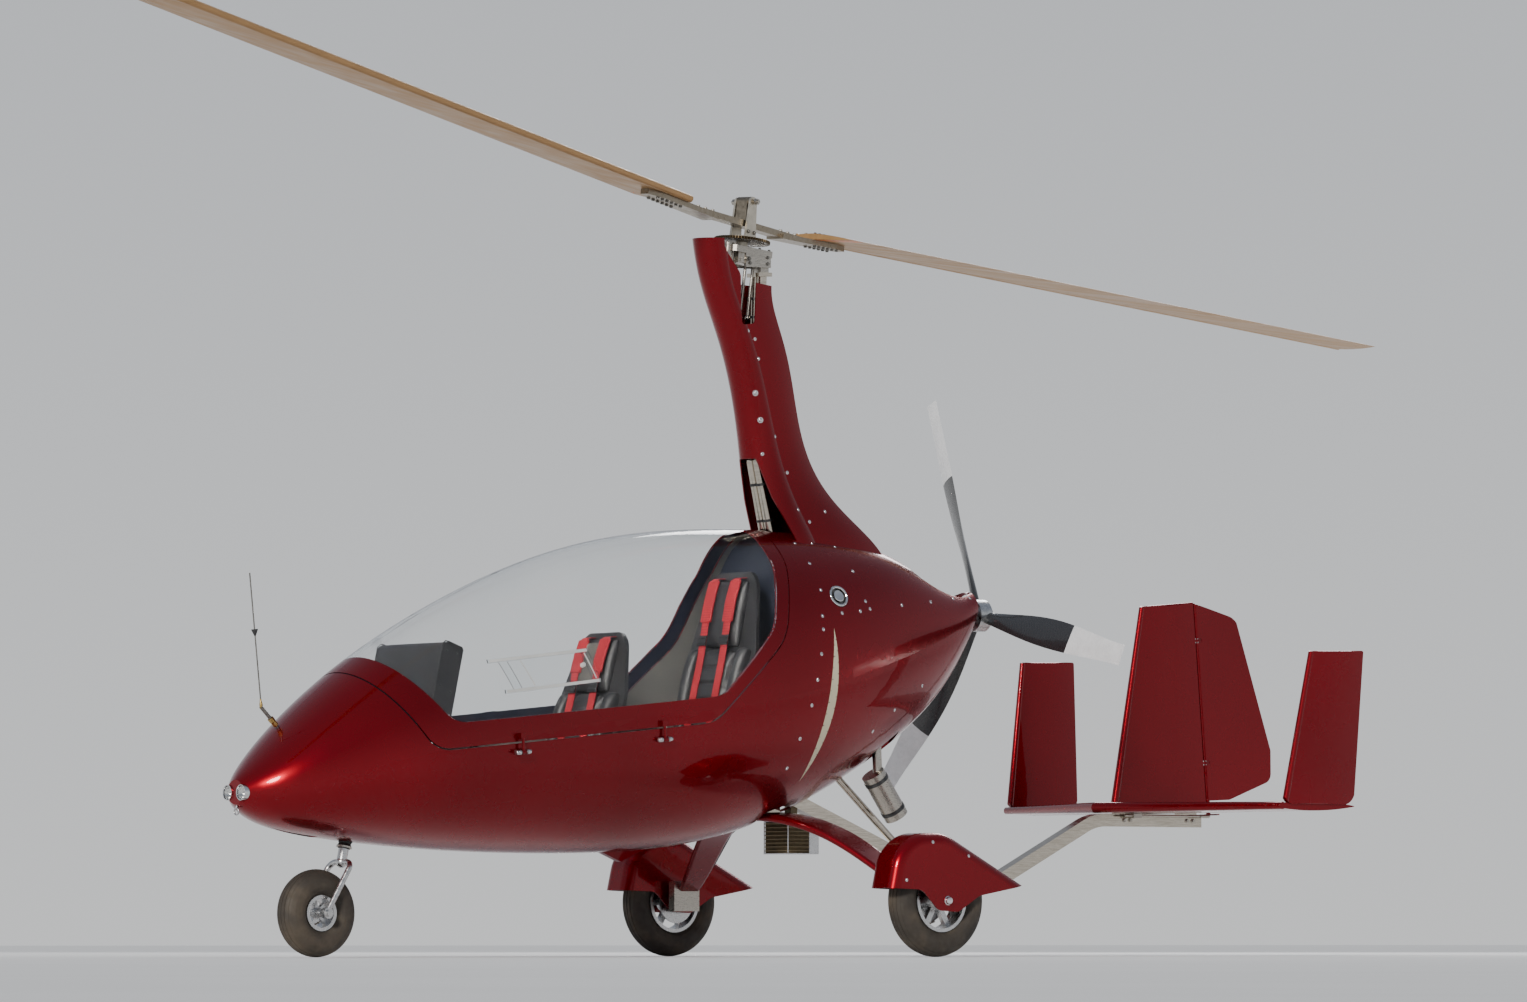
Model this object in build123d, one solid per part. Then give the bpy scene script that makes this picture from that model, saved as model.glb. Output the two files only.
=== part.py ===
from build123d import *
import os
from math import cos, pi, radians, sin

# Enclosed two-seat gyroplane with tandem seats and a pusher propeller.
# X points to the nose, Y to the port side, Z up. The origin is on the ground
# straight below the centre of the rotor hub. All lengths are in millimetres.

# Driving dimensions of the body
SHELL_WALL = 10.0
GLASS_WALL = 4.0
SEAM_GAP = 6.0
FIREWALL_X = -60.0
FLOOR_Z = 520.0
# Body sections: x, top z, bottom z, half width, z of the widest line
BODY_SECTIONS = [
    (2300.0, 636.0, 548.0, 50.0, 590.0),
    (2210.0, 733.0, 488.0, 150.0, 607.0),
    (2000.0, 925.0, 438.0, 258.0, 655.0),
    (1600.0, 1195.0, 400.0, 344.0, 750.0),
    (1100.0, 1428.0, 381.0, 376.0, 838.0),
    (500.0, 1575.0, 396.0, 380.0, 902.0),
    (-100.0, 1602.0, 522.0, 350.0, 1000.0),
    (-600.0, 1545.0, 765.0, 248.0, 1135.0),
    (-1080.0, 1395.0, 1255.0, 70.0, 1325.0),
]

# Canopy outlines in side view: x, z, corner radius
SEAM_OUTLINE = [
    (1950.0, 1140.0, 0.0),
    (1655.0, 740.0, 110.0),
    (420.0, 862.0, 160.0),
    (60.0, 1180.0, 260.0),
    (-28.0, 1460.0, 200.0),
    (-28.0, 1700.0, 0.0),
    (1950.0, 1700.0, 0.0),
]
GLASS_OUTLINE = [
    (1850.0, 1170.0, 0.0),
    (1575.0, 843.0, 100.0),
    (380.0, 962.0, 140.0),
    (112.0, 1215.0, 200.0),
    (38.0, 1450.0, 180.0),
    (38.0, 1700.0, 0.0),
    (1850.0, 1700.0, 0.0),
]
# Canopy hinge axis: centres of the front and the rear hinge
HINGE_CENTRES = ((1303.0, 388.0, 742.0), (661.0, 388.0, 797.0))
HINGE_PIN_RADIUS = 5.0
HINGE_KNUCKLE_RADIUS = 9.0
HINGE_ARM_RISE = 50.0
PIVOT_GAP = 0.3
# Sliding vent pane on the port side: front and rear ends of its upper and lower rail, x and z
VENT_RAILS = (((1407.0, 1070.0), (985.0, 1120.0)), ((1359.0, 960.0), (945.0, 1010.0)))
VENT_RAIL_WIDTH = 14.0
VENT_RAIL_DEPTH = 5.0
VENT_PANE_LIFT = 2.0
# Air inlet under the nose: x of its tip and of its wide end, half width there, and the depth of its ramp
INLET_TIP_X = 2155.0
INLET_END_X = 1960.0
INLET_HALF_WIDTH = 30.0
INLET_TIP_Z = 478.0
INLET_END_Z = 482.0
# Fuel sight strip in the cowl: its two ends and the middle of each edge, x and z
STRIP_ENDS = ((-183.0, 1227.0), (-68.0, 653.0))
STRIP_FORE = (-126.0, 900.0)
STRIP_AFT = (-166.0, 900.0)
# Filler cap: its place on the cowl, the way it faces and its radius
CAP_CENTRE = (-238.0, 268.0, 1347.0)
CAP_NORMAL = (0.0, 0.926, 0.377)
CAP_RADIUS = 43.0

# Rotor, mast and rotor head
HUB_Z = 2752.0
ROTOR_RADIUS = 4200.0
BLADE_ROOT = 400.0
BLADE_CHORD = 200.0
BLADE_THICKNESS = 24.0
ROTOR_AZIMUTH = 15.6
ROTOR_TILT = 6.5
ROTOR_CONE = 3.2
RING_GEAR_RADIUS = 106.0
RING_GEAR_TEETH = 60
RING_GEAR_HOLES = 20
# Height of the teeter bolt over the hub bar, and sizes of the tower's cheeks
TEETER_RISE = 86.0
CHEEK_INNER = 30.0
CHEEK_THICKNESS = 8.0
TEETER_BOLT_RADIUS = 8.0
# Mast fairing sections: z, front x, rear x, half thickness
MAST_SECTIONS = [
    (1480.0, -62.0, -620.0, 130.0),
    (1600.0, -40.0, -520.0, 116.0),
    (1740.0, -18.0, -362.0, 90.0),
    (1900.0, 4.0, -262.0, 72.0),
    (2270.0, 88.0, -172.0, 62.0),
    (2690.0, 226.0, -172.0, 62.0),
]
# The rear of the fairing stops below the head, in side view
MAST_REAR_CUT = [(-300.0, 2506.0, 0.0), (-20.0, 2530.0, 0.0), (-6.0, 2376.0, 12.0), (58.0, 2368.0, 12.0),
                 (58.0, 2560.0, 40.0), (140.0, 2660.0, 0.0), (150.0, 2800.0, 0.0), (-300.0, 2800.0, 0.0)]
MAST_WALL = 5.0
MAST_TUBE_RADIUS = 18.0

# Propeller
PROP_X = -1130.0
PROP_Z = 1305.0
PROP_RADIUS = 875.0
PROP_PHASE = -12.0
PROP_HUB_RADIUS = 62.0

# Main wheels and their spats
TRACK = 1632.0
MAIN_X = -264.0
MAIN_TYRE_RADIUS = 207.5
MAIN_TYRE_WIDTH = 108.0
MAIN_RIM_RADIUS = 117.0
AXLE_RADIUS = 12.5
AXLE_BLOCK_Y = 680.0
# Brake disc, its caliper and line: distances from the wheel's centre plane inward
DISC_Y = -47.0
DISC_RADIUS = 80.0
DISC_SLOT = (-55.0, -39.0)
CALIPER_INNER = -32.0
CALIPER_PLATE_Y = (-62.0, -55.0)
BRAKE_LINE_RADIUS = 3.0
# Nose wheel and leg
NOSE_X = 1947.0
NOSE_TYRE_RADIUS = 159.0
NOSE_TYRE_WIDTH = 104.0
NOSE_RIM_RADIUS = 66.0
NOSE_AXLE_END = 12.0

# Tail
TAIL_Z = 575.0
TAIL_THICKNESS = 44.0
FIN_THICKNESS = 28.0
TAIL_HALF_SPAN = 846.0

# Engine, keel and what hangs below
ENGINE_SIZE = (425.0, 330.0, 370.0)
ENGINE_CENTRE = (-428.0, 0.0, 1145.0)
KEEL_TUBE = 50.0
KEEL_WALL = 3.0
KEEL_POINTS = [(-75.0, 612.0), (-170.0, 612.0), (-1105.0, 232.0), (-1700.0, 527.2), (-2240.0, 527.2)]
KEEL_BENDS = (60.0, 250.0, 220.0)
KEEL_SLOT = (-360.0, -150.0, 29.0, 480.0, 660.0)
KEEL_PADS_X = (-1860.0, -2180.0)
STRUT_ENDS = ((-432.0, 688.0), (-784.0, 379.6))
STRUT_RADIUS = 14.0

# Wedge under the belly in side view, and the pitot ring under the nose
WEDGE_OUTLINE = ((695.0, 420.0), (695.0, 396.0), (585.0, 352.0), (473.0, 398.0), (473.0, 420.0))
WEDGE_HALF_WIDTH = 14.0
PITOT_CENTRE = (2294.0, 0.0, 523.0)

# Forward tub outline in side view; the engine cowl takes what lies behind it
TUB_OUTLINE = [
    (-40.0, 1720.0, 0.0),
    (-80.0, 1450.0, 160.0),
    (-190.0, 1240.0, 300.0),
    (-60.0, 900.0, 400.0),
    (110.0, 600.0, 0.0),
    (60.0, 300.0, 0.0),
    (2500.0, 300.0, 0.0),
    (2500.0, 1720.0, 0.0),
]
# Seats: node, shell outline from the front edge over the bottom to the top, pad outline,
# half width, and height of the shoulders where the back narrows to a round top
SEATS = [
    ("front",
     [(1190, 640), (1190, 625), (790, 560), (635, 1195), (650, 1200), (802, 576)],
     [(1170, 680), (1180, 632), (806, 570), (648, 1185), (700, 1190), (835, 640)], 200.0, 960.0),
    ("rear",
     [(560, 735), (560, 720), (180, 665), (27, 1435), (41, 1440), (192, 681)],
     [(545, 775), (552, 728), (196, 676), (40, 1420), (91, 1427), (225, 745)], 205.0, 1130.0),
]
SEAT_TOP_NARROWING = 70.0
SEAT_TOP_ROUND = 95.0
SEAT_BASE_HALF_WIDTH = 140.0
SEAT_BASE_SETBACK = 30.0
SEAT_FIT = 0.3
PANEL_OUTLINE = [(1590, 900, 20), (1500, 850, 20), (1440, 1120, 20), (1530, 1150, 30)]
MAST_PATH = [(-118.0, 637.3), (-112.0, 1590.0), (-50.0, 1860.0), (-72.0, 2560.0)]
MAST_TUBE_Y = 20.0
# Propeller blade sections: radius, chord, pitch in degrees, thickness
PROP_SECTIONS = [
    (50.0, 48.0, 40.0, 30.0),
    (180.0, 78.0, 35.0, 24.0),
    (360.0, 112.0, 26.0, 17.0),
    (600.0, 108.0, 18.0, 11.0),
    (PROP_RADIUS, 82.0, 12.0, 5.0),
]
# Gear leg sections: y, x, z, chord, thickness
GEAR_LEG_ROWS = [
    (0.0, -60.0, 524.0, 165.0, 34.0),
    (180.0, -72.0, 516.0, 160.0, 32.0),
    (350.0, -135.0, 466.0, 145.0, 30.0),
    (520.0, -205.0, 366.0, 125.0, 28.0),
    (679.7, -262.0, 262.0, 96.0, 26.0),
]
# Opening in the hull round the leg: x from and to, half width, z from and to
GEAR_SLOT = (-150.0, 35.0, 168.0, 470.0, 562.0)
# Spat outline about the axle: x, z, corner radius
SPAT_WIDTH = 150.0
SPAT_ROUND = 42.0
SPAT_WALL = 5.0
# Upper edge, then lower edge from the tail to the front lip
SPAT_UPPER = [(262.0, 45.0, 0.0), (215.0, 247.0, 160.0), (-5.0, 250.0, 160.0), (-378.0, 58.0, 0.0)]
SPAT_LOWER = [(-150.0, 18.0, 80.0), (-50.0, -42.0, 45.0), (45.0, -36.0, 45.0), (120.0, 40.0, 60.0)]
# Steering pivot in side view: its upper end, its direction down, and lengths along it
NOSE_PIVOT_TOP = (1802.0, 500.0)
NOSE_PIVOT_DOWN = (0.2104, -0.9776)
NOSE_BELLOWS_LENGTH = 110.0
NOSE_CROWN_LENGTH = 160.0
FIN_CANT = 4.0
LAMP_Y = 43.0
LAMP_Z = 590.0
LAMP_RADIUS = 29.0
EXHAUST_Y = 105.0
# Tail outlines
TAILPLANE_OUTLINE = [(-1700.0, 0.0), (-1738.0, 120.0), (-1900.0, 700.0), (-1942.0, 830.0), (-2320.0, 830.0),
                     (-2310.0, 0.0)]
# Fins: leading edge upwards, then trailing edge downwards, as x, z and corner radius
END_FIN_OUTLINE = [(-1958, 582, 45), (-2060, 1168, 20), (-2336, 1174, 15), (-2320, 582, 60)]
CENTRE_FIN_OUTLINE = [(-1800, 576, 0), (-1948, 1360, 30), (-2211, 1384, 5), (-2278, 576, 0)]
FIN_EDGE = 3.0
FIN_MARGIN = 8.0
# Rudder: its hinge axis, its nose radius and its outline behind the axis
RUDDER_AXIS = ((-2293.0, 606.0), (-2228.0, 1378.0))
RUDDER_NOSE = 11.0
RUDDER_TRAIL = ((-2693.0, 600.0), (-2418.0, 1384.0))
RUDDER_OUTLINE = [(-2205, 1382, 6), (-2270, 606, 6), (-2400, 612, 40), (-2620, 690, 40), (-2620, 830, 60),
                  (-2448, 1322, 90)]
# Rudder pivots: distances of the two lugs up the axis, and their sizes
RUDDER_LUGS = (150.0, 630.0)
RUDDER_LUG_HALF = 5.0
RUDDER_NOTCH_HALF = 9.0
RUDDER_PIN_RADIUS = 4.0
# Rudder horn under the tailplane: level, reach to port, and size of its ball
HORN_DROP = 56.0
HORN_REACH = 58.0
HORN_BALL_RADIUS = 8.0
# Push rod beside the keel: x of its clamp and of its free end
PUSH_ROD_X = (-1880.0, -2254.0)


def save(node, shape):
    """Write one sub-part to its own file."""
    export_step(Compound(label=node, children=shape.solids()), "parts/" + node + ".step")


def ellipse_section(x, top, bottom, half_width, wide_z, inset=0.0):
    """Closed cross-section of the body at x from four quarter ellipses."""
    a = half_width - inset
    up = top - inset - wide_z
    down = wide_z - bottom - inset
    plane = Plane(origin=(x, 0, wide_z), x_dir=(0, 1, 0), z_dir=(1, 0, 0))
    with BuildSketch(plane) as sketch:
        with BuildLine():
            EllipticalCenterArc((0, 0), a, up, start_angle=0, arc_size=90)
            EllipticalCenterArc((0, 0), a, up, start_angle=90, arc_size=90)
            EllipticalCenterArc((0, 0), a, down, start_angle=180, arc_size=90)
            EllipticalCenterArc((0, 0), a, down, start_angle=270, arc_size=90)
        make_face()
    return sketch.sketch.faces()[0]


def body_envelope(inset=0.0):
    """Loft through the body sections, drawn in by inset."""
    faces = [ellipse_section(*row, inset) for row in BODY_SECTIONS if row[3] > 4 * inset + 20]
    return Solid.make_loft([face.outer_wire() for face in faces])


def side_profile(outline, inset=0.0):
    """Closed face in side view from rows of x, z and corner radius."""
    face = Polygon(*[(x, z) for x, z, _ in outline], align=None)
    for x, z, radius in outline:
        if radius:
            corner = face.vertices().sort_by_distance((x, z, 0))[0]
            face = fillet(corner, radius)
    return offset(face, amount=-inset) if inset else face


def side_prism(outline, half_width, inset=0.0):
    """Side-view outline extruded across the body."""
    plane = Plane(origin=(0, 0, 0), x_dir=(1, 0, 0), z_dir=(0, -1, 0))
    return extrude(plane * side_profile(outline, inset), amount=half_width, both=True)


def front_prism(outline):
    """Front-view outline, rows of y, z and corner radius, extruded along the whole body."""
    return extrude(Plane.YZ * side_profile(outline), amount=3000, both=True)


def box(x0, x1, y0, y1, z0, z1):
    """Axis-aligned block between two corners."""
    centre = ((x0 + x1) / 2, (y0 + y1) / 2, (z0 + z1) / 2)
    return Pos(*centre) * Box(abs(x1 - x0), abs(y1 - y0), abs(z1 - z0))


def rod(start, end, radius):
    """Round bar between two points."""
    direction = Vector(*end) - Vector(*start)
    return Solid.make_cylinder(radius, direction.length, Plane(origin=start, z_dir=direction))


def bent_rod(points, radius):
    """Round bar along a polyline with ball corners."""
    shape = rod(points[0], points[1], radius)
    for start, end in zip(points[1:], points[2:]):
        shape += rod(start, end, radius) + Pos(*start) * Sphere(radius)
    return shape


def bent_bar(section, points, bends, plane):
    """Bar of a given section along a bent path on a plane, with one radius per bend."""
    wire = Polyline(*points)
    for (x, z), radius in zip(points[1:-1], bends):
        corner = wire.vertices().sort_by_distance((x, z, 0))[0]
        wire = wire.fillet_2d(radius, [corner])
    path = plane * wire
    profile = Plane(origin=path.position_at(0), x_dir=plane.z_dir, z_dir=path.tangent_at(0)) * section
    return sweep(profile, path=path)


def make_body():
    """Tub, canopy frame, glass, vent pane, cowl, fuel strip and cap, cut from one envelope."""
    outer = body_envelope()
    inner = body_envelope(SHELL_WALL)
    skin = outer - inner
    canopy_zone = side_prism(SEAM_OUTLINE, 600)
    glass_zone = side_prism(GLASS_OUTLINE, 600)
    front_zone = side_prism(TUB_OUTLINE, 600)
    mast_hole = box(-260, -72, -56, 56, 1400, 1800)
    x0, x1, y1, z0, z1 = GEAR_SLOT
    gear_slot = box(x0, x1, -y1, y1, z0, z1)
    x0, x1, y1, z0, z1 = KEEL_SLOT
    gear_slot += box(x0, x1, -y1, y1, z0, z1)
    lamp_holes = rod((2100, LAMP_Y, LAMP_Z), (2400, LAMP_Y, LAMP_Z), LAMP_RADIUS + 0.3)
    lamp_holes += rod((2100, -LAMP_Y, LAMP_Z), (2400, -LAMP_Y, LAMP_Z), LAMP_RADIUS + 0.3)
    exhaust_hole = box(-640, -500, EXHAUST_Y - 30, EXHAUST_Y + 30, 600, 900)
    tub = (skin & front_zone) - canopy_zone
    firewall = (inner & box(FIREWALL_X - 8, FIREWALL_X, -500, 500, 300, 1800)) - canopy_zone
    duct, duct_hole = inlet_duct(outer)
    save("fuselage_tub", tub + firewall + duct - duct_hole - mast_hole - gear_slot - lamp_holes)
    frame_zone = side_prism(SEAM_OUTLINE, 600, SEAM_GAP)
    save("canopy_frame", (skin & frame_zone) - glass_zone)
    rails, pane, vent_hole = vent_parts(outer)
    save("canopy_glass", ((outer - body_envelope(GLASS_WALL)) & glass_zone) - vent_hole)
    save("vent_window", rails + pane)
    strip_zone = crescent(*STRIP_ENDS, STRIP_FORE, STRIP_AFT)
    save("fuel_sight_strip", skin & strip_zone)
    cap, cap_hole = filler_cap()
    save("fuel_cap", cap)
    shaft_hole = rod((-1200, 0, PROP_Z), (-1040, 0, PROP_Z), 34)
    cowl = skin - front_zone - strip_zone - cap_hole
    save("engine_cowl", cowl - mast_hole - gear_slot - exhaust_hole - shaft_hole)
    save("cabin_floor", inner & box(180, 1900, -500, 500, FLOOR_Z - 8, FLOOR_Z))
    return outer


def inlet_duct(outer):
    """Ramped air inlet under the nose: the block inside the skin and the recess cut from both."""
    wall = 8.0
    tip_x, end_x, half = INLET_TIP_X, INLET_END_X, INLET_HALF_WIDTH
    block = side_prism([(tip_x + wall, INLET_TIP_Z + wall, 0), (end_x - wall, INLET_END_Z + wall, 0),
                        (end_x - wall, 300, 0), (tip_x + wall, 300, 0)], half + wall)
    plan = Polygon((tip_x, 0), (end_x, half), (end_x, -half), align=None)
    ramp = side_prism([(tip_x, INLET_TIP_Z, 0), (end_x, INLET_END_Z, 0), (end_x, 300, 0), (tip_x, 300, 0)],
                      half)
    return block & outer, Pos(0, 0, 200) * extrude(plan, amount=500) & ramp


def vent_parts(outer):
    """Rails and sliding pane on the port side of the glass, and the hole behind them."""
    rail_zone = None
    half = VENT_RAIL_WIDTH / 2
    for (x0, z0), (x1, z1) in VENT_RAILS:
        corners = [(x0, z0 - half, 0), (x0, z0 + half, 0), (x1, z1 + half, 0), (x1, z1 - half, 0)]
        rail = side_prism(corners, 600)
        rail_zone = rail if rail_zone is None else rail_zone + rail
    (upper_front, upper_rear), (lower_front, lower_rear) = VENT_RAILS
    pane_corners = [upper_front, upper_rear, lower_rear, lower_front]
    pane_zone = side_prism([(x - 40 * (x > 1200), z, 0) for x, z in pane_corners], 600)
    hole_zone = side_prism([(x - 80 if x > 1200 else x + 30, z, 0) for x, z in pane_corners], 600)
    port = box(500, 2000, 100, 600, 800, 1300)
    rim = body_envelope(-VENT_RAIL_DEPTH)
    rails = (rim - outer) & rail_zone & port
    pane = (rim - body_envelope(-VENT_PANE_LIFT)) & pane_zone & port
    return rails, pane, (hole_zone - rail_zone) & port


def crescent(start, end, fore, aft):
    """Block to port between two arcs in side view that share their ends."""
    with BuildSketch(Plane(origin=(0, 0, 0), x_dir=(1, 0, 0), z_dir=(0, -1, 0))) as sketch:
        with BuildLine():
            ThreePointArc(start, fore, end)
            ThreePointArc(start, aft, end)
        make_face()
    return extrude(sketch.sketch.faces()[0], amount=600, dir=(0, 1, 0))


def filler_cap():
    """Flush filler cap with its neck and turned grip, and the hole for it."""
    place = Plane(origin=CAP_CENTRE, x_dir=(1, 0, 0), z_dir=CAP_NORMAL).location
    groove = rod((0, 0, 0), (0, 0, 3), 33) - rod((0, 0, -1), (0, 0, 4), 27)
    cap = rod((0, 0, -8), (0, 0, 2), CAP_RADIUS) - groove + rod((0, 0, -45), (0, 0, -7), 30)
    cap += Rot(0, 0, 30) * box(-24, 24, -4, 4, 1, 7)
    return place * cap, place * rod((0, 0, -60), (0, 0, 40), CAP_RADIUS + 0.3)


def make_seats():
    """Two bucket seats with their pads, an instrument pod, sticks and pedals."""
    for name, outline, pad, half_width, shoulder_z in SEATS:
        top_z = outline[-2][1] + 5
        narrow = half_width - SEAT_TOP_NARROWING
        right = [(half_width, 0, 0), (half_width, shoulder_z, 120), (narrow, top_z, SEAT_TOP_ROUND)]
        front = right + [(-y, z, radius) for y, z, radius in reversed(right)]
        seat_form = front_prism(front)
        corners = [(x, z, 0.0) for x, z in outline]
        shell = side_prism(corners, half_width) & seat_form
        (x0, z0), (x1, z1) = outline[1], outline[2]
        rise = (z0 - z1) / (x0 - x1) * SEAT_BASE_SETBACK
        x0, z0, x1, z1 = x0 - SEAT_BASE_SETBACK, z0 - rise, x1 + SEAT_BASE_SETBACK, z1 + rise
        base = [(x0, z0, 0.0), (x0, FLOOR_Z + SEAT_FIT, 0.0), (x1, FLOOR_Z + SEAT_FIT, 0.0), (x1, z1, 0.0)]
        save(name + "_seat", shell + side_prism(base, SEAT_BASE_HALF_WIDTH))
        cushion = side_prism([(x, z, 0.0) for x, z in pad], half_width - 25) & (Pos(0, 0, -12) * seat_form)
        save(name + "_cushion", cushion - side_prism(corners, half_width + 10, -SEAT_FIT))
    pod = side_prism(PANEL_OUTLINE, 205)
    pod += box(1490, 1560, -60, 60, FLOOR_Z, 880)
    save("instrument_panel", pod)
    sticks = []
    for x, top in ((1290.0, 830.0), (665.0, 900.0)):
        foot = rod((x, 0, FLOOR_Z), (x, 0, FLOOR_Z + 30), 26)
        grip = rod((x - 40, 0, top - 110), (x - 45, 0, top), 15)
        sticks.append(foot + rod((x, 0, FLOOR_Z + 15), (x - 40, 0, top - 100), 9) + grip)
    save("control_sticks", Compound(children=sticks))
    pedals = []
    for y in (-110.0, 110.0):
        post = rod((1725, y, FLOOR_Z), (1725, y, FLOOR_Z + 12), 20)
        post += rod((1725, y, FLOOR_Z + 6), (1740, y, FLOOR_Z + 120), 9)
        pedals.append(post + box(1735, 1750, y - 40, y + 40, FLOOR_Z + 80, FLOOR_Z + 190))
    save("rudder_pedals", Compound(children=pedals))


def mast_section(z, front, rear, half, inset=0.0):
    """Streamlined section of the mast fairing with a round front and a blunt rear."""
    half -= inset
    front -= inset
    rear += inset
    nose = min(half * 1.6, (front - rear) * 0.45)
    tail = half * 0.66
    plane = Plane(origin=(0, 0, z), x_dir=(1, 0, 0), z_dir=(0, 0, 1))
    with BuildSketch(plane) as sketch:
        with BuildLine():
            ThreePointArc((front - nose, -half), (front, 0), (front - nose, half))
            ThreePointArc((front - nose, half), ((front - nose + rear) / 2, half * 0.95), (rear, tail))
            Line((rear, tail), (rear, -tail))
            ThreePointArc((rear, -tail), ((front - nose + rear) / 2, -half * 0.95), (front - nose, -half))
        make_face()
    return sketch.sketch.faces()[0]


def make_mast(outer):
    """Hollow fairing with its scoop and head windows, and the twin mast tubes."""
    shells = []
    for inset in (0.0, MAST_WALL):
        wires = [mast_section(*row, inset).outer_wire() for row in MAST_SECTIONS]
        shells.append(Solid.make_loft(wires))
    fairing = shells[0] - shells[1]
    fairing -= outer
    scoop = side_prism([(60, 1560, 0), (-150, 1560, 0), (-70, 1720, 60), (-20, 1868, 0), (60, 1868, 0)], 300)
    fairing -= scoop
    fairing -= side_prism(MAST_REAR_CUT, 300)
    save("mast_fairing", fairing)
    tubes = []
    for y in (-MAST_TUBE_Y, MAST_TUBE_Y):
        tubes.append(bent_rod([(x, y, z) for x, z in MAST_PATH], MAST_TUBE_RADIUS))
    top_x, top_z = MAST_PATH[-1]
    cap = box(top_x - 26, top_x + 20, -48, 48, top_z - 3, top_z + 12)
    mount_x = ENGINE_CENTRE[0] + ENGINE_SIZE[0] / 2 + 0.3
    mount = box(mount_x, MAST_PATH[0][0], -50, 50, 1000, 1030)
    save("mast_tubes", tubes[0] + tubes[1] + cap + mount)


def rotor_place():
    """Frame of the hub: the disc tilts aft, blades turned to their parked azimuth."""
    return Pos(0, 0, HUB_Z) * Rot(0, -ROTOR_TILT, 0)


def ring_gear():
    """Toothed disc with a ring of lightening holes, about the Z axis from its lower face."""
    step = 2 * pi / RING_GEAR_TEETH
    points = []
    for index in range(RING_GEAR_TEETH):
        for share, radius in ((0.0, RING_GEAR_RADIUS - 6), (0.3, RING_GEAR_RADIUS), (0.6, RING_GEAR_RADIUS)):
            angle = (index + share) * step
            points.append((radius * cos(angle), radius * sin(angle)))
    disc = extrude(Polygon(*points, align=None), amount=10)
    for index in range(RING_GEAR_HOLES):
        angle = 2 * pi * index / RING_GEAR_HOLES
        x, y = 82 * cos(angle), 82 * sin(angle)
        disc -= rod((x, y, -1), (x, y, 11), 8)
    return disc


def rotor_head_parts(top_x, top_z):
    """Fixed head under the ring gear: bearing bridge, pinion housing, gimbal block and mast post."""
    plate = box(-122, 66, -45, 45, -112, -88)
    bridge = chamfer(plate.edges().filter_by(Axis.Z), 10) + rod((0, 0, -150), (0, 0, -100), 36)
    bridge += box(-34, 34, -30, 30, -152, -110) + rod((0, -52, -134), (0, 52, -134), 9)
    bridge += rod((62, 0, -150), (62, 0, -88), 18) + rod((62, 0, -88), (62, 0, -79), 22)
    bridge += box(-122, -80, -12, 12, -140, -110)
    head = rotor_place() * bridge
    post = box(top_x - 24, top_x + 14, -30, 30, top_z + 12.3, HUB_Z - 120)
    for side in (-1, 1):
        post += box(top_x - 24, 22, side * 33, side * 44, HUB_Z - 162, HUB_Z - 110)
    return head + post + box(top_x - 24, top_x + 14, -44, 44, HUB_Z - 162, HUB_Z - 146)


def tower_cheek(y):
    """Tapered upright with a round eye at the teeter bolt."""
    fore = [(34, -58, 0), (30, -20, 0), (19, TEETER_RISE + 18, 18)]
    outline = fore + [(-x, z, radius) for x, z, radius in reversed(fore)]
    plane = Plane(origin=(0, y, 0), x_dir=(1, 0, 0), z_dir=(0, -1, 0))
    return extrude(plane * side_profile(outline), amount=CHEEK_THICKNESS / 2, both=True)


def make_rotor():
    """Fixed head, turning tower with ring gear, teetering hub bar and two blades."""
    place = rotor_place()
    head = rotor_head_parts(*MAST_PATH[-1])
    save("rotor_head", head)
    rods = []
    for x, top in ((19.0, -16.0), (-19.0, -50.0)):
        rods.append((rod((x, 0, 2400), (top, 0, 2650), 6) + Pos(x, 0, 2400) * Sphere(11)) - head)
    save("control_rods", Compound(children=rods))
    turned = Rot(0, 0, ROTOR_AZIMUTH)
    cheek_y = CHEEK_INNER + CHEEK_THICKNESS / 2
    tower = rod((0, 0, -87.7), (0, 0, -50), 22) + Pos(0, 0, -68) * ring_gear()
    tower += turned * (box(-34, 34, -38, 38, -58, -46) + tower_cheek(cheek_y) + tower_cheek(-cheek_y))
    bolt_hole = turned * rod((0, -60, TEETER_RISE), (0, 60, TEETER_RISE), TEETER_BOLT_RADIUS + 0.3)
    save("rotor_tower", place * (tower - bolt_hole))
    bar = box(-330, 330, -24, 24, -12, 12) - box(-150, 150, -16, 16, 4, 20)
    block = box(-22, 22, -24, 24, -12, TEETER_RISE) + rod((0, -29.7, TEETER_RISE), (0, 29.7, TEETER_RISE), 20)
    bolt = rod((0, -50, TEETER_RISE), (0, 50, TEETER_RISE), TEETER_BOLT_RADIUS)
    hub = bar + block + bolt
    under = -BLADE_THICKNESS * 0.4 - 0.3
    for side in (-1, 1):
        grip_plan = Polygon((side * 200, -40), (side * 540, -40), (side * 620, -18), (side * 620, 18),
                            (side * 540, 40), (side * 200, 40), align=None)
        grip = Pos(0, 0, -30) * extrude(grip_plan, amount=30 + under, dir=(0, 0, 1))
        hub += Rot(0, -side * ROTOR_CONE, 0) * grip
    save("hub_bar", place * turned * hub)
    for name, side in (("rotor_blade_fore", 1), ("rotor_blade_aft", -1)):
        save(name, place * turned * Rot(0, -side * ROTOR_CONE, 0) * rotor_blade(side))


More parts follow.
